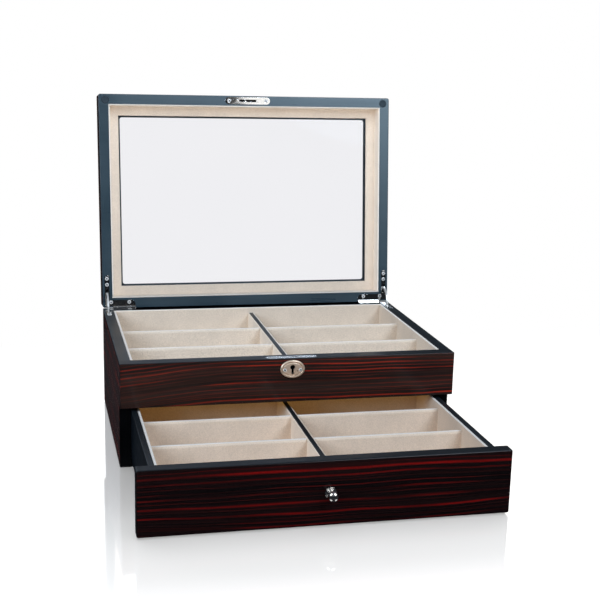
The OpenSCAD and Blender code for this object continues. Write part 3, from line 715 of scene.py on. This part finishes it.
bm = bmesh.new()
for i, (lo, hi) in enumerate(shut("drawer_glides", CASE)):
    add_cover(bm, Y, lo, hi, 0.0004, 3.0 + i, wave=0.00008)
piece("felt_glides", bound(bm), [FELT], "case", CASE, None, ["drawer_glides"])


# ------------------------------------------------------------------ suede linings of the tray and the drawer

# painted highlight: faces turned upwards get the paler suede, as if lit from above
def painted_highlight_on_top(n, c):
    return 1 if n.z > 0.45 else 0


def line(prefix, body, at, seed, cloth):
    for part, along, r in (("side_linings", Y, 0.0009), ("end_linings", X, 0.0011), ("centre_linings", Y, 0.0007)):
        bm = bmesh.new()
        for i, (lo, hi) in enumerate(shut(f"{prefix}_{part}", at)):
            add_cover(bm, along, lo, hi, r, seed + i)
        piece(f"{prefix}_suede_{part.split('_')[0]}", bound(bm), [cloth, SUEDE_PAINTED_HIGHLIGHT], body, at, painted_highlight_on_top, [f"{prefix}_{part}"], 40)
        seed += 4
    for tag in ("left", "right"):
        bm = bmesh.new()
        for i, (lo, hi) in enumerate(shut(f"{prefix}_row_boards_{tag}", at)):
            add_cover(bm, X, lo, hi, 0.0029, seed + i, wave=0.0004, foot=0.0003)
        # painted highlight: the rounded tops of the boards get the paler suede
        piece(f"{prefix}_rows_{tag}", bound(bm), [cloth, SUEDE_PAINTED_HIGHLIGHT], body, at, lambda n, c: 1 if n.z > 0.86 else 0, [f"{prefix}_row_boards_{tag}"], 40)
        seed += 3
    bm = solid(f"{prefix}_floor_lining", at)
    round_edges(bm, lambda e: True, 0.0005, 2)
    piece(f"{prefix}_suede_floor", bm, [cloth], body, at, None, [f"{prefix}_floor_lining"])
    bm = solid(f"{prefix}_centre_board", at)
    top = max(v.co.z for v in bm.verts)
    round_edges(bm, lambda e: on(e, Z, top), 0.0006, 3)
    piece(f"{prefix}_centre", bm, [SLATE_Y, BLACK], body, at, lambda n, c: 0 if n.z > 0.2 else 1, [f"{prefix}_centre_board"])


line("tray", "case", CASE, 10.0, SUEDE_TRAY)
line("drawer", "drawer", DRAWER, 60.0, SUEDE)


# ------------------------------------------------------------------ lid

lid_lo = Vector([min(shut(n, LID)[0][0][i] for n in ("lid_left_rail", "lid_top_panel")) for i in range(3)])
lid_hi = shut("lid_top_panel", LID)[0][1]
ZL, ZT = lid_lo.z, lid_hi.z
YL = abs(lid_lo.y)


def lid_rule(n, c):
    if n.z < -0.3 and c.z < ZL + 0.0013:
        return 0
    if n.z > 0.5 and c.z > ZT - 0.0022:
        return 3
    if abs(n.x) > 0.68 and abs(c.x) > XO - 0.0028:
        return 1
    if abs(n.y) > 0.68 and abs(c.y) > YL - 0.0028:
        return 2
    return 4


def corner(e):
    return (on(e, X, XO) or on(e, X, -XO)) and (on(e, Y, YL) or on(e, Y, -YL))


for tag in ("left", "right"):
    bm = solid(f"lid_{tag}_rail", LID)
    round_edges(bm, corner, 0.0026, 5)
    round_edges(bm, lambda e: on(e, Z, ZL) and all(abs(v.co.x) > XO - 0.0027 and (abs(v.co.x) > XO - 1e-5 or abs(v.co.y) > YL - 0.0027) or abs(v.co.y) > YL - 1e-5 for v in e.verts), 0.0010)
    piece(f"lid_rail_{tag}", bm, [SLATE, SIDE, LENGTH, TOP, BLACK], "lid", LID, lid_rule, [f"lid_{tag}_rail"])
for tag, y in (("front", -YL), ("back", YL)):
    bm = solid(f"lid_{tag}_rail", LID)
    round_edges(bm, lambda e: on(e, Y, y) and on(e, Z, ZL) and tag == "front", 0.0010)
    piece(f"lid_rail_{tag}", bm, [SLATE, SIDE, LENGTH, TOP, BLACK], "lid", LID, lid_rule, [f"lid_{tag}_rail"])
bm = solid("lid_top_panel", LID)
round_edges(bm, corner, 0.0026, 5)
round_edges(bm, lambda e: on(e, Z, ZT) and all(abs(v.co.x) > XO - 0.0027 or abs(v.co.y) > YL - 0.0027 for v in e.verts), 0.0018, 4)
round_edges(bm, lambda e: on(e, Z, ZT) and all(abs(v.co.x) < XO - 0.01 and abs(v.co.y) < YL - 0.01 for v in e.verts), 0.0010, 3)
# the cut faces round the window (slot 5) get the paler slate: painted light on faces in shade
piece("lid_top", bm, [SLATE, SIDE, LENGTH, TOP, BLACK, SLATE_PAINTED_LIGHT], "lid", LID,
      lambda n, c: 5 if lid_rule(n, c) == 4 and abs(c.x) < XO - 0.01 and abs(c.y) < YL - 0.01 else lid_rule(n, c), ["lid_top_panel"])

bm = solid("lid_window_mat", LID)
zm = min(v.co.z for v in bm.verts)
round_edges(bm, lambda e: on(e, Z, zm) and all(abs(v.co.x) < 0.165 and abs(v.co.y) < 0.112 for v in e.verts), 0.0008, 3)
piece("lid_suede_mat", bm, [SUEDE_LID], "lid", LID, None, ["lid_window_mat"])
for part, along in (("side_linings", Y), ("end_linings", X)):
    bm = bmesh.new()
    for i, (lo, hi) in enumerate(shut(f"lid_{part}", LID)):
        add_cover(bm, along, lo, hi, 0.0008, 90.0 + i, True, 0.0001)
    # painted highlight: the edges of the lid's linings that face out when the lid is open get the paler suede
    piece(f"lid_suede_{part.split('_')[0]}", bound(bm), [SUEDE_LID, SUEDE_PAINTED_HIGHLIGHT], "lid", LID, lambda n, c: 1 if n.z < -0.3 else 0, [f"lid_{part}"], 40)

dress("lid_glass", GLASS, 0.0003)

# rubber pads: domed discs let into the corners
bm = bmesh.new()
for lo, hi in shut("lid_bumpers", LID):
    mid, r, h = (lo + hi) / 2, (hi.x - lo.x) / 2, hi.z - lo.z
    prof = [(0.0, 0.0), (r * 0.999, 0.0), (r, h * 0.25), (r, h * 0.62), (r * 0.96, h * 0.84), (r * 0.88, h * 0.96), (r * 0.78, h),
            (r * 0.70, h * 0.97), (r * 0.62, h * 0.86), (r * 0.40, h * 0.84), (0.0, h * 0.83)]
    add_turned(bm, prof, lambda x, y, q: Vector((mid.x + x, mid.y + y, hi.z - q)), 40)
piece("lid_pads", bound(bm), [RUBBER], "lid", LID, None, ["lid_bumpers"])


# ------------------------------------------------------------------ drawer

lo, hi = shut("drawer_front", DRAWER)[0]
bm = bmesh.new()
add_box(bm, lo, hi)
bound(bm)
round_edges(bm, lambda e: True, 0.0018, 4)
front = piece("drawer_face", bm, [DRAWER_FRONT, RIM_PAINTED_SHADE, BLACK], "drawer", DRAWER,
              lambda n, c: 0 if n.y < -0.72 else 1 if n.z > 0.3 else 2, ["drawer_front"])
klo, khi = shut("drawer_knob", DRAWER)[0]
KZ = (klo.z + khi.z) / 2
bm = bmesh.new()
add_turned(bm, [(0.0, -0.001), (0.0042, -0.001), (0.0042, 0.0028), (0.0021, 0.0028), (0.0021, 0.017), (0.0, 0.017)],
           lambda x, z, q: Vector((x, hi.y - q, KZ + z)), 40)
cut(front, bound(bm))

for tag, s in (("left", -1.0), ("right", 1.0)):
    bm = solid(f"drawer_{tag}_side", DRAWER)
    top = max(v.co.z for v in bm.verts)
    out = max(abs(v.co.x) for v in bm.verts)
    round_edges(bm, lambda e: on(e, Z, top) or on(e, X, s * out), 0.0007, 3)
    piece(f"drawer_wall_{tag}", bm, [NAVY, SLATE_Y], "drawer", DRAWER, lambda n, c: 1 if n.z > 0.3 else 0, [f"drawer_{tag}_side"])
for node in ("drawer_back", "drawer_bottom"):
    bm = solid(node, DRAWER)
    top = max(v.co.z for v in bm.verts)
    round_edges(bm, lambda e: on(e, Z, top), 0.0005, 2)
    piece(node.replace("drawer_", "drawer_wall_"), bm, [NAVY, SLATE], "drawer", DRAWER,
          lambda n, c: 1 if n.z > 0.5 and node == "drawer_back" else 0, [node])

# ball knob, turned in one piece with its neck and flange
lo, hi = klo, khi
R = 0.0054
base = (hi.x - lo.x) / 2
ball = (hi.y - lo.y) - R
prof = [(0.0, 0.0), (base - 0.0002, 0.0), (base, 0.0002), (base, 0.0008), (base - 0.00008, 0.00098), (base - 0.00025, 0.0011), (base - 0.0005, 0.00114),
        (base - 0.0012, 0.00115), (base - 0.0013, 0.00122), (base - 0.0013, 0.0016), (base - 0.00138, 0.00178), (base - 0.00155, 0.0019), (base - 0.0018, 0.00195),
        (0.0036, 0.0020), (0.0032, 0.0022), (0.0029, 0.0027), (0.0028, 0.0038)]
q0 = math.asin(min(1.0, 0.0031 / R))
prof += [(0.0029, ball - R * math.cos(q0) - 0.0004)]
prof += [(R * math.sin(q), ball - R * math.cos(q)) for q in [q0 + (math.pi - q0) * i / 22 for i in range(22)]] + [(0.0, ball + R)]
bm = bmesh.new()
add_turned(bm, prof, lambda x, z, q: Vector((x, hi.y - q, KZ + z)), 64)
piece("knob", bound(bm), [NICKEL], "drawer", DRAWER, None, ["drawer_knob"], 60)


# ------------------------------------------------------------------ fittings

# keyhole plate: an oval with a rolled rim round a flat field, pierced by the keyhole
lo, hi = shut("keyhole_plate", CASE)[0]
mid = (lo + hi) / 2
A, B = (hi.x - lo.x) / 2, (hi.z - lo.z) / 2
N = 160


def keyhole(q):
    """Distance from the plate's centre to the keyhole's outline in direction q."""
    x, z = math.cos(q), math.sin(q)
    sides = [0.0013 / abs(x)] if abs(x) > 1e-9 else []
    sides.append(0.0056 / -z if z < 0 else 0.0010 / z if z > 1e-9 else 1.0)
    b = 0.0020 * z
    return max(min(sides), b + math.sqrt(b * b + 0.0027 ** 2 - 0.0020 ** 2))


bm = bmesh.new()
rings = []
for inset, h in ((0.0004, 0.0), (0.0, 0.0003), (0.0, 0.0008), (0.0003, 0.0012), (0.0008, 0.00155), (0.0014, 0.00175), (0.0019, 0.0017), (0.0022, 0.0014), (0.00235, 0.0010), (0.0025, 0.00065),
                 (0.00285, 0.00062), (0.00298, 0.00095), (0.0032, 0.00122), (0.0037, 0.00132)):
    rings.append([bm.verts.new(((A - inset) * math.cos(2 * math.pi * i / N), YF - h, mid.z + (B - inset) * math.sin(2 * math.pi * i / N))) for i in range(N)])
for grow, h in ((0.00035, 0.00140), (0.0001, 0.00136), (0.0, 0.00118), (0.0, -0.0006)):
    rings.append([bm.verts.new(((keyhole(q) + grow) * math.cos(q), YF - h, mid.z + (keyhole(q) + grow) * math.sin(q))) for q in (2 * math.pi * i / N for i in range(N))])
for a, b in zip(rings, rings[1:]):
    for i in range(N):
        j = (i + 1) % N
        bm.faces.new((a[i], a[j], b[j], b[i]))
for i in range(N):
    j = (i + 1) % N
    bm.faces.new((rings[-1][i], rings[-1][j], rings[0][j], rings[0][i]))
field = A - 0.0030
# its warm tan is partly painted reflection of the surroundings
piece("keyhole_oval", bound(bm), [SATIN_WARM_REFLECTION, SATIN_WARM_REFLECTION], "case", CASE,
      lambda n, c: 1 if (c.x / field) ** 2 + ((c.z - mid.z) / (B - 0.0030)) ** 2 < 1.0 and n.y < -0.8 else 0, ["keyhole_plate"], 50)

def spun(x, y, degrees):
    q = math.radians(degrees)
    return x * math.cos(q) - y * math.sin(q), x * math.sin(q) + y * math.cos(q)


# its two cross-slotted nails; their slots are lined with the dark steel as painted shade
bm = bmesh.new()
slots = bmesh.new()
for lo, hi in shut("keyhole_plate_pins", CASE):
    c = (lo + hi) / 2

    def nail(x, z, q, c=c):
        return Vector((c.x + x, YF - q, c.z + z))
    add_turned(bm, [(0.0, -0.0018), (0.0006, -0.0018), (0.0006, 0.0012), (0.00193, 0.0012), (0.0020, 0.0014), (0.0018, 0.0016), (0.0011, 0.00174), (0.0, 0.0018)], nail, 32)
    add_cross(slots, 0.0015, 0.00032, lambda x, z, q: nail(*spun(x, z, 38), q), 0.00146, 0.004)
nails = piece("keyhole_nails", bound(bm), [SCREW, DARK_STEEL_AND_SLOT_SHADE], "case", CASE, None, ["keyhole_plate_pins"])
cut(nails, bound(slots), 1)


def screws(name, node, body, at, up, dome):
    """Countersunk screws with slightly domed, cross-slotted heads; up is the way the heads face. The slots are lined
    with the dark steel as painted shade.
    """
    bm = bmesh.new()
    slots = bmesh.new()
    for i, (lo, hi) in enumerate(shut(node, at)):
        c, r, length = (lo + hi) / 2, (hi.x - lo.x) / 2, hi.z - lo.z
        head = hi.z if up > 0 else lo.z

        def put(x, y, q, c=c, head=head):
            return Vector((c.x + x, c.y + y, head + up * q))
        prof = [(0.0, -length), (r * 0.30, -length + 0.0003), (r * 0.44, -length + 0.0010), (r * 0.44, -0.0013), (r * 0.97, -0.00012), (r, -0.00004),
                (r * 0.97, dome * 0.12), (r * 0.82, dome * 0.45), (r * 0.55, dome * 0.8), (r * 0.25, dome * 0.97), (0.0, dome)]
        add_turned(bm, prof, put, 36)
        add_cross(slots, r * 0.72, 0.00033, lambda x, y, q: put(*spun(x, y, 45 + 17 * (i % 3)), q), -0.0006, 0.002)
    cut(piece(name, bound(bm), [SCREW, DARK_STEEL_AND_SLOT_SHADE], body, at, None, [node]), bound(slots), 1)


screws("screws_case_hinge", "hinge_box_screws", "case", CASE, 1.0, 0.00019)
screws("screws_lid_hinge", "hinge_lid_screws", "lid", LID, -1.0, 0.00019)
screws("screws_lock", "lock_screws", "case", CASE, 1.0, 0.00008)
screws("screws_strike", "strike_screws", "lid", LID, -1.0, 0.00008)

for node in ("hinge_box_leaf_left", "hinge_box_leaf_right", "hinge_lid_leaf_left", "hinge_lid_leaf_right", "strike_plate", "lock_plate"):
    dress(node, NICKEL, 0.00022)
dress("hinge_pins", NICKEL, 0.00008)
for node in ("stay_left", "stay_right"):
    dress(node, STAY, 0.0004, 3)
for node in ("lock_pivot_pin", "lock_hook", "drawer_knob_screw"):
    dress(node, STEEL, 0.0002)
dress("lock_case", DARK_STEEL_AND_SLOT_SHADE, 0.0002)


# ------------------------------------------------------------------ camera, floor and light

yaw, pitch, roll = (math.radians(a) for a in (14.2186, 13.9768, 1.7242))
ahead = Vector((math.sin(yaw) * math.cos(pitch), math.cos(yaw) * math.cos(pitch), -math.sin(pitch)))
right = Vector((math.cos(yaw), -math.sin(yaw), 0.0))
above = right.cross(ahead)
cx = right * math.cos(roll) + above * math.sin(roll)
cy = above * math.cos(roll) - right * math.sin(roll)
cam = bpy.data.objects.new("camera", bpy.data.cameras.new("camera"))
scene.collection.objects.link(cam)
cam.matrix_world = Matrix((
    (cx.x, cy.x, -ahead.x, -0.27814),
    (cx.y, cy.y, -ahead.y, -1.37015),
    (cx.z, cy.z, -ahead.z, 0.46601),
    (0, 0, 0, 1),
))
cam.data.sensor_width = 36.0
cam.data.lens = 1217.345 / 600 * 36
cam.data.shift_x = (300 - 325.626) / 600
cam.data.shift_y = (332.112 - 300) / 600
cam.data.clip_start, cam.data.clip_end = 0.05, 60
scene.camera = cam

bm = bmesh.new()
bmesh.ops.create_grid(bm, x_segments=2, y_segments=2, size=1.0)
bmesh.ops.scale(bm, vec=(3.2, 1.5, 1.0), verts=bm.verts)
me = bpy.data.meshes.new("floor")
bm.to_mesh(me)
bm.free()
floor = bpy.data.objects.new("floor", me)
scene.collection.objects.link(floor)
floor.location = (0.3, -1.0, -0.0002)
t = Tree("white_floor")
c = t.coords()
tone = t.noise(t.point(c[0], c[1], c[2]), 3.0, 2.0)
# painted reflection fade: the floor's own grey is darker near the box and whiter towards the viewer, so the box's
# mirrored image shows dark near it and fades out; the polish weight stays fixed
painted_fade = t.add("ShaderNodeFloatCurve")
curve = painted_fade.mapping.curves[0]
for k, q in enumerate(((0.0, 1.0), (0.06, 0.92), (0.12, 0.82), (0.19, 0.735), (0.25, 0.67), (0.33, 0.635), (0.456, 0.565), (0.60, 0.435), (0.77, 0.38), (1.0, 0.36))):
    if k < 2:
        curve.points[k].location = q
    else:
        curve.points.new(*q)
painted_fade.mapping.update()
t.put(painted_fade.inputs["Value"], t.fit(c[1], 0.48, 1.00))
grey = t.times(painted_fade.outputs[0], t.fit(tone, 0.3, 0.7, 0.985, 1.0))
cloth = t.add("ShaderNodeBsdfDiffuse")
t.put(cloth.inputs["Color"], t.point(grey, grey, grey))
polish = t.add("ShaderNodeBsdfGlossy")
direct = t.add("ShaderNodeLightPath").outputs["Is Camera Ray"]
t.put(polish.inputs["Color"], t.mix(direct, (0.0, 0.0, 0.0), (1.0, 0.975, 0.945)))
t.put(polish.inputs["Roughness"], 0.05)
coat = t.add("ShaderNodeMixShader")
t.put(coat.inputs[0], t.fit(direct, 0.0, 1.0, 0.18, 0.35))
t.put(coat.inputs[1], cloth.outputs[0])
t.put(coat.inputs[2], polish.outputs[0])
white = coat.outputs[0]
# the pieces mirror a dark table instead of the white sweep
table = t.add("ShaderNodeBsdfDiffuse")
t.put(table.inputs["Color"], (0.012, 0.013, 0.015, 1))
either = t.add("ShaderNodeMixShader")
t.put(either.inputs[0], t.add("ShaderNodeLightPath").outputs["Is Glossy Ray"])
t.put(either.inputs[1], white)
t.put(either.inputs[2], table.outputs[0])
# far off, the floor runs into the white backdrop
dx, dy = t.math("ADD", c[0], 0.3), t.math("SUBTRACT", c[1], 0.85)
far = t.math("MAXIMUM", t.fit(t.math("SQRT", t.total(t.times(dx, dx), t.times(dy, dy))), 0.60, 1.00, 0.0, 1.0, True), t.fit(c[1], 1.14, 1.42, 0.0, 1.0, True))
blank = t.add("ShaderNodeEmission")
t.put(blank.inputs["Color"], (1, 1, 1, 1))
seam = t.add("ShaderNodeMixShader")
t.put(seam.inputs[0], t.times(far, t.add("ShaderNodeLightPath").outputs["Is Camera Ray"]))
t.put(seam.inputs[1], either.outputs[0])
t.put(seam.inputs[2], blank.outputs[0])
t.put(t.out.inputs["Surface"], seam.outputs[0])
me.materials.append(t.mat)
floor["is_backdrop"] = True

world = bpy.data.worlds.new("studio")
scene.world = world
world.use_nodes = True
wt = world.node_tree
wt.nodes.clear()


def wadd(kind, **props):
    n = wt.nodes.new(kind)
    for k, v in props.items():
        setattr(n, k, v)
    return n


sky = wadd("ShaderNodeSeparateXYZ")
wt.links.new(wadd("ShaderNodeTexCoord").outputs["Generated"], sky.inputs[0])


def wfit(socket, a, b, lo, hi):
    n = wadd("ShaderNodeMapRange", clamp=True, interpolation_type="SMOOTHSTEP")
    wt.links.new(socket, n.inputs[0])
    for i, v in enumerate((a, b, lo, hi)):
        n.inputs[i + 1].default_value = v
    return n.outputs[0]


def wmath(op, a, b):
    n = wadd("ShaderNodeMath", operation=op)
    for s, v in zip(n.inputs, (a, b)):
        if isinstance(v, bpy.types.NodeSocket):
            wt.links.new(v, s)
        else:
            s.default_value = v
    return n.outputs[0]


COOL = (0.84, 0.97, 1.14)
overhead = wfit(sky.outputs[2], 0.20, 0.90, 0.0, 0.14)
side_on = wfit(sky.outputs[0], 0.27, 0.22, 0.0, 1.0)
behind = wmath("MULTIPLY", wmath("MULTIPLY", wfit(sky.outputs[1], 0.55, 0.90, 0.0, 0.55), wfit(sky.outputs[2], 0.0, 0.10, 0.0, 1.0)), side_on)
strength = wmath("ADD", overhead, wmath("ADD", behind, 0.016))
dome = wadd("ShaderNodeBackground")
dome.inputs["Color"].default_value = (*COOL, 1)
wt.links.new(strength, dome.inputs["Strength"])
backdrop = wadd("ShaderNodeBackground")
backdrop.inputs["Color"].default_value = (1, 1, 1, 1)
backdrop.inputs["Strength"].default_value = 1.0
pick = wadd("ShaderNodeMixShader")
wt.links.new(wadd("ShaderNodeLightPath").outputs["Is Camera Ray"], pick.inputs[0])
wt.links.new(dome.outputs[0], pick.inputs[1])
wt.links.new(backdrop.outputs[0], pick.inputs[2])
wt.links.new(pick.outputs[0], wadd("ShaderNodeOutputWorld").inputs["Surface"])


floor_only = bpy.data.collections.new("floor_only")
floor_only.objects.link(floor)
pieces = bpy.data.collections.new("pieces")
knob_only = bpy.data.collections.new("knob_only")
for o in scene.objects:
    if o.type == "MESH" and o != floor:
        (knob_only if o.name == "knob" else pieces).objects.link(o)


def softbox(name, place, target, size, power, tint=COOL, only=None):
    d = bpy.data.lights.new(name, "AREA")
    d.shape, d.size, d.size_y, d.energy, d.color = "RECTANGLE", size[0], size[1], power, tint
    o = bpy.data.objects.new(name, d)
    scene.collection.objects.link(o)
    o.location = place
    o.rotation_euler = (Vector(target) - Vector(place)).to_track_quat("-Z", "Y").to_euler()
    o.visible_camera = False
    if only:
        o.light_linking.receiver_collection = only
    return o


def group(name, *starts, rest=False):
    """The pieces that a flagged light reaches, or all the rest."""
    g = bpy.data.collections.new(name)
    for o in pieces.objects:
        if o.name.startswith(starts) != rest:
            g.objects.link(o)
    return g


# two soft boxes light the box, and the floor has lights of its own, so that it stays white
flagged = ("lid_suede_mat", "lid_suede_end")
lit = group("lit", *flagged, rest=True)
softbox("right", (0.95, -1.80, 1.62), (0.0, -0.05, 0.1), (1.1, 1.1), 33.0, COOL, lit).data.shape = "DISK"
softbox("left", (-1.60, -1.30, 1.10), (0.0, 0.0, 0.15), (1.2, 1.2), 29.0, COOL, lit)


# a low round box for the lacquer and the metal of the lid, flagged off the suede
lacquered = group("lacquered", "lid_rail", "lid_glass", "lid_pads")
fitted = group("fitted", "hinge_", "stay_", "lock_plate")
softbox("right_low", (0.88, -1.90, 1.30), (0.0, 0.1, 0.25), (1.5, 1.5), 26.0, (0.70, 0.96, 1.16), lacquered).data.shape = "DISK"
softbox("right_metal", (0.88, -1.90, 1.30), (0.0, 0.1, 0.25), (1.5, 1.5), 4.5, (1.0, 0.99, 0.97), fitted).data.shape = "DISK"
softbox("strike_card", (0.76, -1.90, 0.75), (0.0, 0.148, 0.376), (0.8, 0.8), 2.4, (1, 1, 1), group("strike_only", "strike_"))
# a card in front for the lined lid
softbox("lid_card", (-0.10, -2.20, 0.75), (0.0, 0.15, 0.25), (1.2, 1.2), 4.8, (0.90, 0.98, 1.08), group("lid_cloth", "lid_suede"))
mat = group("lid_mat", *flagged)
softbox("lid_front", (-0.10, -2.20, 0.75), (0.0, 0.15, 0.25), (1.2, 1.2), 9.2, COOL, mat)
softbox("lid_key", (0.10, -0.75, 1.05), (0.0, 0.15, 0.25), (0.8, 0.8), 9.0, COOL, mat)
# warm light that finds its way under the tray into the back of the drawer
softbox("under_tray", (0.0, -0.088, 0.0702), (0.0, -0.088, 0.0), (0.32, 0.045), 0.0150, (1.0, 0.60, 0.11), group("drawer_cloth", "drawer_suede", "drawer_rows"))
# soft light from above on the tops of the boards, and from the left on the ends of the compartments
boards = group("boards", "tray_suede", "tray_rows")
softbox("boards_top", (-0.15, -0.10, 1.30), (0.0, -0.10, 0.1), (0.8, 0.8), 2.6, (0.97, 0.99, 1.03), boards)
ends = group("ends", "tray_suede_centre", "drawer_suede_centre", "lid_suede_side")
softbox("ends_left", (-1.30, -0.50, 0.90), (0.0, 0.0, 0.12), (0.7, 0.7), 7.5, COOL, ends)
# the knob mirrors two near boxes and the white table close under it
softbox("knob_left", (-0.87, -0.27, 0.90), (0.0, -0.33, 0.036), (1.0, 1.0), 5.5, (1, 1, 1), knob_only)
softbox("knob_right", (0.63, -0.75, 1.02), (0.0, -0.33, 0.036), (1.0, 1.0), 5.5, (1, 1, 1), knob_only)
softbox("table_left", (-0.026, -0.326, 0.001), (-0.026, -0.326, 1.0), (0.026, 0.030), 0.0020, (1, 1, 1), knob_only)
softbox("table_right", (0.028, -0.340, 0.001), (0.028, -0.340, 1.0), (0.026, 0.030), 0.0020, (1, 1, 1), knob_only)
softbox("sweep", (1.0, 1.2, 0.50), (1.0, 0.0, 0.50), (6.0, 0.96), 40.0, (1, 1, 1), floor_only)
softbox("floor_top", (0.0, -0.3, 1.6), (0.0, -0.3, 0.0), (2.6, 2.6), 40.0, (1, 1, 1), floor_only)
# white walls that only the polish of the floor mirrors
for name, place, target, size in (
    ("wall_back", (1.0, 1.2, 2.49), (1.0, 0.0, 2.49), (6.0, 3.02)),
    ("wall_front", (1.0, -3.4, 2.0), (1.0, 0.0, 2.0), (6.0, 4.0)),
    ("wall_left", (-2.0, -1.1, 2.0), (0.0, -1.1, 2.0), (4.6, 4.0)),
    ("wall_right", (4.0, -1.1, 2.0), (0.0, -1.1, 2.0), (4.6, 4.0)),
):
    softbox(name, place, target, size, 6.944 * size[0] * size[1], (1, 1, 1), floor_only).visible_diffuse = False
fill = bpy.data.objects.new("floor_fill", bpy.data.lights.new("floor_fill", "SUN"))
fill.data.energy, fill.data.use_shadow = 3.3, False
scene.collection.objects.link(fill)
fill.light_linking.receiver_collection = floor_only

scene.view_settings.view_transform = "Standard"
scene.view_settings.look = "None"

lo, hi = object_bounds()
{"cad": [list(CAD_LO), list(CAD_HI)], "visual": [list(lo), list(hi)]}
